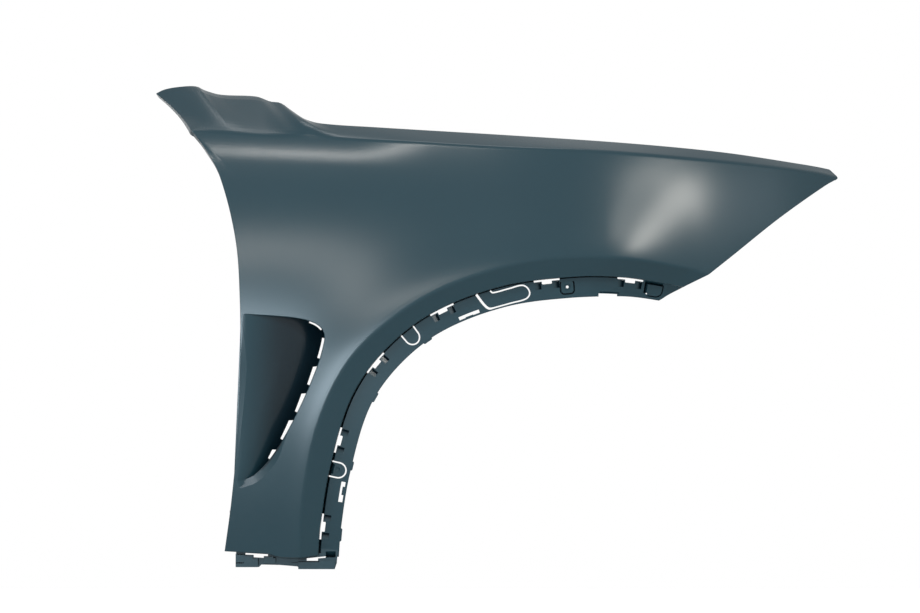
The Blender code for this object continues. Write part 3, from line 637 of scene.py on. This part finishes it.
# The flange's openings
# The flange in the wheel opening carries slots for the arch trim's clips, two spring tongues,
# a long latch tongue and windows. All are cored straight through by the mould.
CLIP_PLACES = [0.0495, 0.1995, 0.3475, 0.494, 0.6805, 0.8235]
CLIP_LENGTH = 0.044
CLIP_WIDTH = 0.0028
NOTCH_LENGTH = 0.017
NOTCH_DEPTH = 0.0085
NOTCH_ROUND = 0.0015
TONGUE_PLACES = [0.1495, 0.4245]
TONGUE_WIDTH = 0.026
TONGUE_LENGTH = 0.028
TONGUE_SLOT = 0.0024
TONGUE_START = 0.0017
TONGUE_STEPS = 33
LATCH_PLACE = 0.604
LATCH_SLOT = 0.0024
LATCH_WIDE = 0.0040
LATCH_STEPS = 120
LATCH_NARROWS = (0.14, 0.24)
LATCH_LINE = [(-0.046, 0.0012), (-0.0395, 0.020), (-0.033, 0.0300), (-0.025, 0.0316),
              (0.010, 0.0313), (0.036, 0.0292), (0.0445, 0.022), (0.0425, 0.0115),
              (0.034, 0.0054), (0.0108, 0.0066), (-0.018, 0.0066), (-0.0215, 0.0022)]
WINDOWS = [[(0.0955, 0.0245), (0.1315, 0.0245), (0.1315, 0.0315), (0.1230, 0.0315),
            (0.1230, 0.0280), (0.1080, 0.0280), (0.1080, 0.0315), (0.0955, 0.0315)],
           [(0.5145, 0.0265), (0.5535, 0.0265), (0.5535, 0.0320), (0.5410, 0.0320),
            (0.5410, 0.0310), (0.5265, 0.0310), (0.5265, 0.0320), (0.5145, 0.0320)]]
GAP = [(0.7695, 0.0295), (0.8025, 0.0295), (0.8025, 0.0400), (0.7695, 0.0400)]
THROUGH = (-0.01, 0.14)


def arch_outline(corners, step=0.003):
    """A closed outline drawn in distance along the arch edge and inset, bent along it."""
    outline = []
    for (start, inset), (end, next_inset) in zip(corners, corners[1:] + corners[:1]):
        pieces = max(1, round(abs(end - start) / step))
        for k in range(pieces):
            share = k / pieces
            outline.append(on_arch(start + (end - start) * share,
                                   inset + (next_inset - inset) * share))
    return outline


def arc(centre, radius, first, last, count=7):
    """Points on an arc, with its two angles in degrees."""
    turns = [math.radians(t) for t in np.linspace(first, last, count)]
    return [(centre[0] + radius * math.cos(t), centre[1] + radius * math.sin(t)) for t in turns]


openings = []
for place in CLIP_PLACES:
    half, notch = CLIP_LENGTH / 2, NOTCH_LENGTH / 2
    near, far = EDGE_CLEARANCE, EDGE_CLEARANCE + CLIP_WIDTH
    corners = [(place - half, near), (place + half, near), (place + half, far),
               (place + notch, far)]
    for x, first in ((place + notch - NOTCH_ROUND, 0), (place - notch + NOTCH_ROUND, 90)):
        corners += arc((x, NOTCH_DEPTH - NOTCH_ROUND), NOTCH_ROUND, first, first + 90)
    corners += [(place - notch, far), (place - half, far)]
    openings.append(prism("clip_slot", arch_outline(corners), *THROUGH))
for place in TONGUE_PLACES:
    radius = TONGUE_WIDTH / 2
    line = [(place - radius, TONGUE_START)]
    line += arc((place, TONGUE_LENGTH - radius), radius, 180, 0, TONGUE_STEPS)
    line.append((place + radius, TONGUE_START))
    openings.append(prism("tongue_slot", ribbon([on_arch(*p) for p in line], TONGUE_SLOT),
                          *THROUGH))
latch = Path(LATCH_LINE)
shares = np.linspace(0, 1, LATCH_STEPS)
line = [on_arch(LATCH_PLACE + run, inset) for run, inset in latch.at(shares)]
widths = [LATCH_WIDE + (LATCH_SLOT - LATCH_WIDE) * float(rise(share, *LATCH_NARROWS))
          for share in shares]
openings.append(prism("latch_slot", ribbon(line, widths), *THROUGH))
for corners in WINDOWS + [GAP]:
    openings.append(prism("flange_window", arch_outline(corners), *THROUGH))

# The flange's raised and sunk details
# Nubs locate the liner's edge, a sunk boss takes its bolt, and a latch pocket takes the trim's
# end clip. Each clip slot has two sloped lead-ins, and the grooves narrow to their feet, so that
# the tool comes out of them.
NUBS = [(0.0385, 0.025), (0.162, 0.016), (0.2955, 0.021), (0.4435, 0.019)]
NUB_PROUD = 0.0025
NUB_ROOT = 0.004
NUB_INSIDE = 0.0004
RAMP_OFFSET = 0.0155
RAMP_LENGTH = 0.0105
RAMP_INSET = 0.0050
RAMP_WIDTH = 0.0115
RAMP_SINK = 0.0055
RAMP_START = 0.1
RAMP_STEPS = 6
CHANNEL_ENDS = (0.004, 0.838)
CHANNEL_WIDTHS = [(0.0, 0.0040), (0.1413, 0.0036), (0.1416, 0.0068), (0.1579, 0.0068),
                  (0.1582, 0.0036), (0.25, 0.0030), (0.42, 0.0018), (0.9, 0.0013)]
CHANNEL_LOW = 0.0007
CHANNEL_DEPTH = 0.0075
CHANNEL_STEPS = 180
SHEER = 0.0008
THIN = 0.12
GROOVE_FOOT = 0.0003
BACK_START = WALL / 2
BACK_WALL = WALL * 0.8
BOSS_PLACE = 0.7145
BOSS_INSET = 0.0165
BOSS_SIZE = 0.0235
BOSS_ROUND = 0.0065
BOSS_SINK = 0.0055
BOSS_RING = 0.0028
BOSS_HOLE = 0.0048
BOSS_SPOT = 0.0055
RING_START, RING_END = 21, 15
SPOT_RINGS = [(1.1, -0.001), (1.0, 0.0002), (0.85, 0.0012)]
DRAIN_PLACE = (0.8545, 0.0225)
DRAIN_HOLE = 0.0024
POCKET_PLACE = 0.866
POCKET_LENGTH = 0.034
POCKET_WIDTH = 0.027
POCKET_SLOT = 0.0055
POCKET_DEPTH = 0.010
POCKET_ROUND = 0.014
POCKET_GROOVE = 0.0020
POCKET_GROOVE_IN = WALL * 0.7
POCKET_GROOVE_ENDS = (0.6, 1.2)
POCKET_GROOVE_SINK = 0.6
GAP_GROOVE = [(0.7715, 0.0258), (0.8060, 0.0258), (0.8060, 0.0283), (0.7715, 0.0283)]
DIMPLE = (0.151, 0.0136)
DIMPLE_RADIUS = 0.0035
DIMPLE_SINK = 0.0012
DIMPLE_RINGS = [(1.4, -0.001), (1.0, 0.0002), (0.75, DIMPLE_SINK * 0.7), (0.4, DIMPLE_SINK)]
OUTSIDE = -0.004


def flange_run(distance, inset):
    """The run of the flange's column that passes through a place, as its front end leans back."""
    run = distance
    for _ in range(3):
        front = rise(run / arch.length, *FRONT_SHARES)
        run = distance + FLANGE_TIP_BACK * front * inset / FLANGE_WIDTH
    return run


def flange_depth(run):
    """How far inboard the flange's outer face lies, in the column at a run of the arch edge."""
    return float(edge_depth(min(run / arch.length, 1.0))) + FLANGE_STEP


def on_flange(distance, inset, depth):
    """A point at a depth behind the flange's outer face."""
    x, z = on_arch(distance, inset)
    return (x, flange_depth(flange_run(distance, inset)) + depth, z)


def flange_solid(name, outlines, depths):
    """A solid in the flange through outlines (distance, inset), each at its own depth."""
    return loft(name, [[on_flange(run, inset, depth) for run, inset in outline]
                       for outline, depth in zip(outlines, depths)])


def rounded_box(start, end, low, high, radius):
    """A rectangle with round corners, in distance and inset."""
    corners = [((end - radius, high - radius), 0), ((start + radius, high - radius), 90),
               ((start + radius, low + radius), 180), ((end - radius, low + radius), 270)]
    return [p for centre, turn in corners for p in arc(centre, radius, turn, turn + 90, 6)]


def rectangle(left, right, top, low):
    return [(left, low), (right, low), (right, top), (left, top)]


def circle(centre, radius):
    return arc(centre, radius, 0, 345, 24)


def add_back(name, outline, depth):
    """Thicken the flange from behind, where something is sunk into it."""
    joined.append(flange_solid(name, [outline] * 2, (BACK_START, depth)))


def sink_groove(name, mouth, foot, depth, sheer=SHEER):
    """Cut a groove that goes straight in for a little, and then narrows to its foot."""
    sunk.append(flange_solid(name, [mouth, mouth, foot], (OUTSIDE, sheer, depth)))


def sink_dish(name, centre, radius, rings):
    """Cut a round dish through rings of a share of the radius, each at its depth."""
    sunk.append(flange_solid(name, [circle(centre, radius * size) for size, depth in rings],
                             [depth for size, depth in rings]))


joined = [vent_tray]
sunk = [vent_opening]
for place, length in NUBS:
    low, half = FLANGE_WIDTH - NUB_ROOT, length / 2
    outline = [(place - half, low), (place + half, low), (place + half, FLANGE_WIDTH)]
    for x, first in ((place + half - NUB_PROUD, 0), (place - half + NUB_PROUD, 90)):
        outline += arc((x, FLANGE_WIDTH), NUB_PROUD, first, first + 90, 5)
    joined.append(flange_solid("liner_nub", [outline] * 2, (NUB_INSIDE, WALL - NUB_INSIDE)))
for place in CLIP_PLACES:
    for side in (-1, 1):
        start = place + side * RAMP_OFFSET - RAMP_LENGTH / 2
        high = RAMP_INSET + RAMP_WIDTH
        rings = []
        for share in np.linspace(0, 1, RAMP_STEPS):
            run = start + RAMP_LENGTH * share
            sink = RAMP_SINK * (RAMP_START + (1 - RAMP_START) * share)
            rings.append([on_flange(run, RAMP_INSET, OUTSIDE), on_flange(run, high, OUTSIDE),
                          on_flange(run, high, sink), on_flange(run, RAMP_INSET, sink)])
        sunk.append(loft("clip_lead_in", rings))
        back = rectangle(start - WALL, start + RAMP_LENGTH + WALL, high + WALL, RAMP_INSET)
        add_back("lead_in_back", back, RAMP_SINK + BACK_WALL)

# A narrow channel runs along the foot of the step, and a wider one at the lower tongue's hinge
hinge_runs = [run for run, width in CHANNEL_WIDTHS[1:5]]
runs = np.sort(np.concatenate([np.linspace(*CHANNEL_ENDS, CHANNEL_STEPS), hinge_runs]))
channel_widths = np.interp(runs, *np.array(CHANNEL_WIDTHS).T)


def channel_outline(low, more):
    """The channel's outline from one inset, with more at its ends and on its high side."""
    wider = runs + np.linspace(-more, more, len(runs))
    high = [(run, CHANNEL_LOW + width + more) for run, width in zip(wider, channel_widths)]
    return [(run, low) for run in wider] + high[::-1]


channel_foot = [(run, CHANNEL_LOW) for run in runs]
channel_foot += [(run, CHANNEL_LOW + GROOVE_FOOT) for run in runs[::-1]]
add_back("channel_back", channel_outline(-BACK_WALL, BACK_WALL), CHANNEL_DEPTH + BACK_WALL)
sink_groove("channel", channel_outline(CHANNEL_LOW, 0.0), channel_foot, CHANNEL_DEPTH)

# The boss, in a ring that stays open toward the step
half = BOSS_SIZE / 2
start, end, low, high = (BOSS_PLACE - half, BOSS_PLACE + half, BOSS_INSET - half,
                         BOSS_INSET + half)
around = rounded_box(start - WALL, end + WALL, low - WALL, high + WALL, BOSS_ROUND + WALL)
add_back("boss_back", around, BOSS_SINK + WALL)
ring = rounded_box(start, end, low, high, BOSS_ROUND)
ring = ring[RING_START:] + ring[:RING_END]
sink_groove("boss_ring", ribbon(ring, BOSS_RING), ribbon(ring, BOSS_RING * THIN), BOSS_SINK)
boss = (BOSS_PLACE, BOSS_INSET)
sink_dish("boss_spot", boss, BOSS_SPOT, SPOT_RINGS)
for name, centre, width in (("boss_hole", boss, BOSS_HOLE),
                            ("drain_hole", DRAIN_PLACE, DRAIN_HOLE)):
    openings.append(prism(name, [on_arch(*p) for p in circle(centre, width / 2)], *THROUGH))

# The latch pocket, an angled slot and a groove that follows the pocket's round side
half = POCKET_LENGTH / 2
start, end = POCKET_PLACE - half, POCKET_PLACE + half
low, high = EDGE_CLEARANCE, EDGE_CLEARANCE + POCKET_WIDTH
outline = [(start - WALL, low), (end, low)]
outline += arc((end - POCKET_ROUND, high - POCKET_ROUND), POCKET_ROUND, 0, 90, 13)
outline += [(start - WALL, high)]
add_back("pocket_back", outline, POCKET_DEPTH + WALL)


def pocket_angle(bottom, side):
    """The angled slot's outline, from its lower edge and the inner edge of its upright."""
    bend, top = low + POCKET_SLOT, high - 2 * WALL
    return [(start, bottom), (end - WALL, bottom), (end - WALL, bend), (side, bend), (side, top),
            (start, top)]


sink_groove("pocket_slot", pocket_angle(low, start + POCKET_SLOT),
            pocket_angle(low + POCKET_SLOT * (1 - THIN), start + POCKET_SLOT * THIN), POCKET_DEPTH)
near_end, far_end = POCKET_GROOVE_ENDS
curve = [(end - POCKET_GROOVE_IN, low + POCKET_SLOT * near_end)]
curve += arc((end - POCKET_ROUND, high - POCKET_ROUND), POCKET_ROUND - POCKET_GROOVE_IN, 0, 90, 17)
curve += [(start + POCKET_SLOT * far_end, high - POCKET_GROOVE_IN)]
sink_groove("pocket_groove", ribbon(curve, POCKET_GROOVE), ribbon(curve, POCKET_GROOVE * THIN),
            POCKET_DEPTH * POCKET_GROOVE_SINK)
sink_dish("tongue_dimple", DIMPLE, DIMPLE_RADIUS, DIMPLE_RINGS)
gap_foot = [(run, max(inset, GAP_GROOVE[-1][1] - GROOVE_FOOT)) for run, inset in GAP_GROOVE]
sink_groove("gap_groove", GAP_GROOVE, gap_foot, BACK_WALL, GROOVE_FOOT)

# The trim flange
# A short flange under the leg, where the sill trim clips on. It is moulded with the fender,
# set back from the skin, and has two stepped slots and a small box that holds the clip's end.
TRIM_OUTLINE = [(-0.584, -0.0440), (-0.584, -0.0706), (-0.545, -0.0706), (-0.541, -0.0665),
                (-0.510, -0.0672), (-0.480, -0.0697), (-0.476, -0.0740), (-0.4165, -0.0740),
                (-0.413, -0.0640), (-0.411, -0.0380), (-0.445, -0.0380), (-0.490, -0.0500),
                (-0.530, -0.0450)]
TRIM_SLOTS = [[(-0.568, -0.0468), (-0.530, -0.0490), (-0.530, -0.0520), (-0.537, -0.0520),
               (-0.537, -0.0550), (-0.554, -0.0540), (-0.554, -0.0500), (-0.568, -0.0495)],
              [(-0.464, -0.0560), (-0.432, -0.0525), (-0.432, -0.0550), (-0.445, -0.0560),
               (-0.445, -0.0600), (-0.464, -0.0600)]]
TRIM_FACE = 0.0515
TRIM_BLOCKS = [[(-0.5848, -0.0480), (-0.5848, -0.0709), (-0.5468, -0.0709), (-0.5468, -0.0575),
                (-0.5560, -0.0575), (-0.5560, -0.0520), (-0.5700, -0.0520), (-0.5700, -0.0480)],
               [(-0.4785, -0.0610), (-0.4785, -0.0743), (-0.4163, -0.0743), (-0.4163, -0.0590),
                (-0.4440, -0.0610)],
               [(-0.5370, -0.0535), (-0.5370, -0.0640), (-0.5170, -0.0650), (-0.5170, -0.0535)]]
TRIM_PROUD = 0.0045
TRIM_GROOVES = [(-0.5848, -0.5710, -0.0628, -0.0646), (-0.5820, -0.5640, -0.0478, -0.0500),
                (-0.5468, -0.5440, -0.0560, -0.0670), (-0.5290, -0.5190, -0.0512, -0.0534),
                (-0.5210, -0.5150, -0.0534, -0.0560), (-0.5170, -0.5145, -0.0560, -0.0630),
                (-0.4900, -0.4785, -0.0615, -0.0634), (-0.4785, -0.4425, -0.0600, -0.0622),
                (-0.4790, -0.4660, -0.0556, -0.0578)]
TRIM_SUNK = 0.0022
TRIM_BOX = (-0.4318, -0.4150, -0.0440, -0.0545)
TRIM_BOX_DEPTH = 0.013
TRIM_BOX_FOOT = 0.0004
TRIM_BOX_WALL = WALL * 0.6
TRIM_BOX_ROOT = WALL * 0.3
TRIM_BLOCK_ROOT = WALL * 0.9
TRIM_CUT_START = -0.02
TRIM_BOX_START = -0.03
TRIM_THROUGH = (-0.010, 0.02)


def trim_cut(name, mouth, foot, depths):
    """Cut in from the mouth's edges to the foot's, at depths behind the flange's face."""
    sunk.append(loft(name, [[(x, TRIM_FACE + depth, z) for x, z in rectangle(*edges)]
                            for edges, depth in zip((mouth, mouth, foot), depths)]))


joined.append(prism("trim_flange", TRIM_OUTLINE, TRIM_FACE, TRIM_FACE + WALL))
joined += [prism("trim_block", outline, TRIM_FACE - TRIM_PROUD, TRIM_FACE + TRIM_BLOCK_ROOT)
           for outline in TRIM_BLOCKS]
for left, right, top, low in TRIM_GROOVES:
    if right - left > top - low:
        trim_foot = (left, right, low + GROOVE_FOOT, low)
    else:
        trim_foot = (left, left + GROOVE_FOOT, top, low)
    trim_cut("trim_groove", (left, right, top, low), trim_foot,
             (TRIM_CUT_START, -TRIM_PROUD + SHEER, TRIM_SUNK))
left, right, top, low = TRIM_BOX
around = rectangle(left - TRIM_BOX_WALL, right + TRIM_BOX_WALL, top + TRIM_BOX_WALL,
                   low - TRIM_BOX_WALL)
joined.append(prism("trim_box", around, TRIM_FACE + TRIM_BOX_ROOT,
                    TRIM_FACE + TRIM_BOX_DEPTH + WALL))
trim_cut("trim_box_inside", TRIM_BOX, (left, right, low + TRIM_BOX_FOOT, low),
         (TRIM_BOX_START, 0, TRIM_BOX_DEPTH))
openings += [prism("trim_slot", outline, *(TRIM_FACE + depth for depth in TRIM_THROUGH))
             for outline in TRIM_SLOTS]

# The bolt pads and the door tabs
# Level pads on the hood flange take the bolts and washers that hang the fender on the car, in
# slotted holes that let it be set. Two tabs at the door edge's return are bolted to the body.
PAD_SHARES = [0.36, 0.59, 0.82]
PAD_LENGTH = 0.038
PAD_WIDTH = 0.022
PAD_CORNER = 0.004
PAD_RISE = 0.0032
PAD_HEIGHT = 0.007
PAD_FROM_DROP = 0.016
BOLT_HOLE = 0.0075
BOLT_SLOT = 0.006
HOLE_OFFSET = 0.007
HOLE_DOWN = 0.02
HOLE_UP = 0.01
LEAN_UP = 0.9
LEAN_REACH = 0.01
TAB_HEIGHTS = [0.012, 0.440]
TAB_LENGTH = 0.026
TAB_WIDTH = 0.026
TAB_CORNER = 0.006
TAB_GAP = 0.001
TAB_HOLE_SHARE = 0.58
TAB_SLOT = 0.001
TAB_HOLE_ENDS = (-0.002, 0.01)


def slot_outline(centre, width, length):
    """A slot with round ends, along X."""
    return (arc((centre[0] + length / 2, centre[1]), width / 2, -90, 90, 12)
            + arc((centre[0] - length / 2, centre[1]), width / 2, 90, 270, 12))


for share in PAD_SHARES:
    point, below = [Vector(p) for p in top_points(share, (1.0, LEAN_UP))]
    ahead, behind = [Vector(top_points(share + reach, 1.0)) for reach in (LEAN_REACH, -LEAN_REACH)]
    along = ahead - behind
    inward = along.cross(point - below).normalized()
    if inward.z > 0:
        inward = -inward
    foot = point + inward * HOOD_DROP
    x, y = foot.x, foot.y + PAD_FROM_DROP
    outline = rounded_box(x - PAD_LENGTH / 2, x + PAD_LENGTH / 2, y - PAD_WIDTH / 2,
                          y + PAD_WIDTH / 2, PAD_CORNER)
    top = foot.z + PAD_RISE
    joined.append(prism("hood_pad", outline, top - PAD_HEIGHT, top, upright=True))
    openings.append(prism("hood_hole", slot_outline((x + HOLE_OFFSET, y), BOLT_HOLE, BOLT_SLOT),
                          top - HOLE_DOWN, top + HOLE_UP, upright=True))
for height in TAB_HEIGHTS:
    x = float(np.interp(height, door_edge.points[:, 1], door_edge.points[:, 0]))
    back = float(skin_depth(x, height)) + EDGE_RETURN + TAB_GAP
    left, right = x + TAB_GAP, x + TAB_LENGTH
    low, high = height - TAB_WIDTH / 2, height + TAB_WIDTH / 2
    outline = [(left, low)]
    for corner, first in ((low + TAB_CORNER, -90), (high - TAB_CORNER, 0)):
        outline += arc((right - TAB_CORNER, corner), TAB_CORNER, first, first + 90, 6)
    outline += [(left, high)]
    joined.append(prism("door_tab", outline, back - WALL, back))
    hole = slot_outline((x + TAB_LENGTH * TAB_HOLE_SHARE, height), BOLT_HOLE, TAB_SLOT)
    openings.append(prism("door_hole", hole, back - WALL + TAB_HOLE_ENDS[0],
                          back + TAB_HOLE_ENDS[1]))

combine(joined, "UNION")
combine(sunk, "DIFFERENCE")
combine(vent_slots + openings, "DIFFERENCE")

# The deep places
# The recess floor, the flange's deep ribs and the sunk faces of the trim flange get painted shade,
# a darker colour where light reaches less far in. Each point of the mesh is given how far into them
# it lies, for the plastic.
RECESS_SHARES = (-0.02, 1.02)
RECESS_UNDER = (0.0005, 0.0030)
RIB_UNDER = (0.0012, 0.0045)
FACING_IN = 0.3
ARCH_STEPS = 1500
TRIM_MIDDLE = -0.50
TRIM_REACH = 0.09
TRIM_UNDER = 0.001
SMOOTH_ANGLE = 32

points = np.array([tuple(vert.co) for vert in fender.data.vertices])
facing = np.array([tuple(vert.normal) for vert in fender.data.vertices])[:, 1]
share, past, front = vent_place(points[:, 0], points[:, 2])
inside = ((share > RECESS_SHARES[0]) & (share < RECESS_SHARES[1]) & (past > 0)
          & (points[:, 0] < front + WALL))
# How much painted shade each point gets: more with depth below the skin and away from the recess's
# rear edge.
shade_amount = np.zeros(len(points))
under = points[inside, 1] - skin_depth(points[inside, 0], points[inside, 2])
shade_amount[inside] = rise(past[inside], 0.0, RECESS_REACH) * rise(under, *RECESS_UNDER)
steps = np.linspace(0, arch.length, ARCH_STEPS)
levels = np.array([flange_depth(step) for step in steps])
spots = arch.along(steps)
near = np.flatnonzero((arch.gap(points[:, 0], points[:, 2]) < FLANGE_WIDTH) & (facing < FACING_IN))
for first in range(0, len(near), BATCH):
    some = near[first:first + BATCH]
    away = points[some][:, None, [0, 2]] - spots
    square = (away * away).sum(axis=2)
    inset = np.sqrt(square.min(axis=1))
    level = np.interp(flange_run(steps[square.argmin(axis=1)], inset), steps, levels)
    shade_amount[some] = np.maximum(shade_amount[some], rise(points[some, 1] - level, *RIB_UNDER))
on_trim = ((np.abs(points[:, 0] - TRIM_MIDDLE) < TRIM_REACH) & (points[:, 2] < TRIM_OUTLINE[0][1])
           & (points[:, 1] > TRIM_FACE + TRIM_UNDER) & (facing < FACING_IN))
shade_amount[on_trim] = 1.0
mask = fender.data.attributes.new("painted_recess_shade", "FLOAT", "POINT")
mask.data.foreach_set("value", shade_amount)

fender.data.transform(Matrix.Translation(-SEAT))
bpy.ops.object.shade_smooth_by_angle(angle=math.radians(SMOOTH_ANGLE))

# The plastic
# An unpainted blue-grey polypropylene blend with mineral filler, injection moulded in a polished
# tool, so it is satin, with a slight waviness and flow marks where the melt has cooled. The grain
# is drawn coarser than it is, so that it shows.
BODY_HEX = "#1D363F"
MARK_HEX = "#1F3942"
# The colour of the painted shade in the recess, the deep ribs and the trim flange.
PAINTED_SHADE_HEX = "#0A1B23"
MARK_SIZE = 0.120
WAVE_SIZE = 0.0045
WAVE_HEIGHT = 0.000006
GRAIN_SIZE = 0.0006
GRAIN_HEIGHT = 0.000008
ROUGHNESS = 0.225
IOR = 1.36


def linear(code):
    """The linear colour of an sRGB hex code."""
    parts = [int(code[i:i + 2], 16) / 255 for i in (1, 3, 5)]
    return [p / 12.92 if p <= 0.04045 else ((p + 0.055) / 1.055) ** 2.4 for p in parts] + [1.0]


def add_node(tree, kind, inputs=(), **settings):
    """A node with its settings, and its inputs given as values or as links from other nodes."""
    node = tree.nodes.new(kind)
    for key, value in settings.items():
        setattr(node, key, value)
    for name, value in dict(inputs).items():
        if isinstance(value, bpy.types.NodeSocket):
            tree.links.new(value, node.inputs[name])
        else:
            node.inputs[name].default_value = value
    return node


plastic = bpy.data.materials.new("filled_polypropylene_satin")
plastic.use_nodes = True
tree = plastic.node_tree
tree.nodes.clear()
where = add_node(tree, "ShaderNodeTexCoord").outputs["Object"]
marks, waves, grain = [
    add_node(tree, "ShaderNodeTexNoise",
             {"Vector": where, "Scale": 1 / size, "Detail": detail}).outputs["Fac"]
    for size, detail in ((MARK_SIZE, 3.0), (WAVE_SIZE, 1.0), (GRAIN_SIZE, 2.0))]
mottled = add_node(tree, "ShaderNodeMix", {"Factor": marks}, data_type="RGBA")
mottled.inputs["A"].default_value = linear(BODY_HEX)
mottled.inputs["B"].default_value = linear(MARK_HEX)
# Painted shade: the colour darkens toward the shade colour where the mesh lies deep.
painted_shade_share = add_node(tree, "ShaderNodeAttribute", attribute_name="painted_recess_shade").outputs["Fac"]
colour = add_node(tree, "ShaderNodeMix", {"Factor": painted_shade_share}, data_type="RGBA")
tree.links.new(mottled.outputs["Result"], colour.inputs["A"])
colour.inputs["B"].default_value = linear(PAINTED_SHADE_HEX)
wavy = add_node(tree, "ShaderNodeBump", {"Height": waves, "Strength": 1.0,
                                         "Distance": WAVE_HEIGHT})
fine = add_node(tree, "ShaderNodeBump", {"Height": grain, "Strength": 1.0,
                                         "Distance": GRAIN_HEIGHT,
                                         "Normal": wavy.outputs["Normal"]})
surface = add_node(tree, "ShaderNodeBsdfPrincipled",
                   {"Base Color": colour.outputs["Result"], "Roughness": ROUGHNESS, "IOR": IOR,
                    "Metallic": 0.0, "Normal": fine.outputs["Normal"]})
add_node(tree, "ShaderNodeOutputMaterial", {"Surface": surface.outputs["BSDF"]})
fender.data.materials.clear()
fender.data.materials.append(plastic)
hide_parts("fender")
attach(fender, "root")

# The studio
# A pale floor well below the fender, and soft lamps ahead of the nose, at the camera's left and
# overhead, which put the highlights where the photograph has them. Two more behind the fender
# light its inner side. Azimuth 0 is the camera's side, and it grows toward the nose.
FLOOR_HEIGHT = -0.83
FLOOR_HEX = "#E8E8E6"
FLOOR_ROUGHNESS = 0.9
FLOOR_GLOW = 0.6
ROOM_HEX = "#E6EAEE"
ROOM_STRENGTH = 0.4
WHITE = (1, 1, 1, 1)
LAMP_DISTANCE = 6.0
LAMP_TARGET = Vector((0, 0, -0.3))
# Each lamp's name, azimuth, elevation, width, height, power and colour
LAMPS = [("ahead", 42, 28, 0.75, 0.85, 74, "#FFFAF2"),
         ("ahead_arm", 34.5, 35.5, 1.1, 0.35, 28, "#FFFAF2"),
         ("nose", 57, 24, 1.8, 1.4, 14, "#F2F8FF"),
         ("left", -12, 18, 1.3, 0.7, 30, "#FFFAF4"),
         ("side", -16, 2.5, 1.2, 1.0, 110, "#D8EAF6"),
         ("shoulder", -12, 49, 1.0, 0.3, 50, "#FFFAF4"),
         ("corner", -46, 30, 2.4, 1.6, 84, "#F2F8FF"),
         ("top", 180, 80, 1.4, 1.4, 26, "#FFFFFF"),
         ("behind_left", -150, 12, 1.6, 1.6, 60, "#FFFFFF"),
         ("behind_right", 150, 12, 1.6, 1.6, 60, "#FFFFFF")]

bpy.ops.mesh.primitive_plane_add(size=12, location=(0, 0, 0))
floor = bpy.context.object
floor.name = "studio_floor"
floor.data.transform(Matrix.Translation((0, 0, FLOOR_HEIGHT)))
paper = bpy.data.materials.new("matt_white_paper")
paper.use_nodes = True
tree = paper.node_tree
tree.nodes.clear()
path = add_node(tree, "ShaderNodeLightPath")
matt = add_node(tree, "ShaderNodeBsdfPrincipled", {"Base Color": linear(FLOOR_HEX),
                                                   "Roughness": FLOOR_ROUGHNESS})
glow = add_node(tree, "ShaderNodeEmission", {"Color": WHITE, "Strength": FLOOR_GLOW})
lit = add_node(tree, "ShaderNodeAddShader", {0: matt.outputs["BSDF"], 1: glow.outputs[0]})
both = add_node(tree, "ShaderNodeMixShader", {0: path.outputs["Is Camera Ray"],
                                              1: matt.outputs["BSDF"], 2: lit.outputs[0]})
add_node(tree, "ShaderNodeOutputMaterial", {"Surface": both.outputs[0]})
floor.data.materials.append(paper)

world = bpy.data.worlds.new("studio")
scene.world = world
world.use_nodes = True
tree = world.node_tree
tree.nodes.clear()
path = add_node(tree, "ShaderNodeLightPath")
seen = add_node(tree, "ShaderNodeMath", {0: path.outputs["Is Camera Ray"],
                                         1: path.outputs["Is Glossy Ray"]}, operation="ADD")
shown = add_node(tree, "ShaderNodeMath", {0: seen.outputs[0],
                                          1: path.outputs["Is Transmission Ray"]},
                 operation="ADD", use_clamp=True)
dim = add_node(tree, "ShaderNodeBackground", {"Color": linear(ROOM_HEX),
                                                "Strength": ROOM_STRENGTH})
white = add_node(tree, "ShaderNodeBackground", {"Color": WHITE, "Strength": 1.0})
both = add_node(tree, "ShaderNodeMixShader", {0: shown.outputs[0], 1: dim.outputs[0],
                                              2: white.outputs[0]})
add_node(tree, "ShaderNodeOutputWorld", {"Surface": both.outputs[0]})

for name, azimuth, elevation, width, height, power, hex_code in LAMPS:
    turn, lift = math.radians(azimuth), math.radians(elevation)
    flat = math.cos(lift)
    way = Vector((math.sin(turn) * flat, -math.cos(turn) * flat, math.sin(lift)))
    bpy.ops.object.light_add(type="AREA")
    lamp = bpy.context.object
    lamp.name = "lamp_" + name
    lamp.location = way * LAMP_DISTANCE + LAMP_TARGET
    lamp.rotation_euler = way.to_track_quat("Z", "Y").to_euler()
    lamp.data.shape = "RECTANGLE"
    lamp.data.size, lamp.data.size_y = width, height
    lamp.data.energy, lamp.data.color = power, linear(hex_code)[:3]
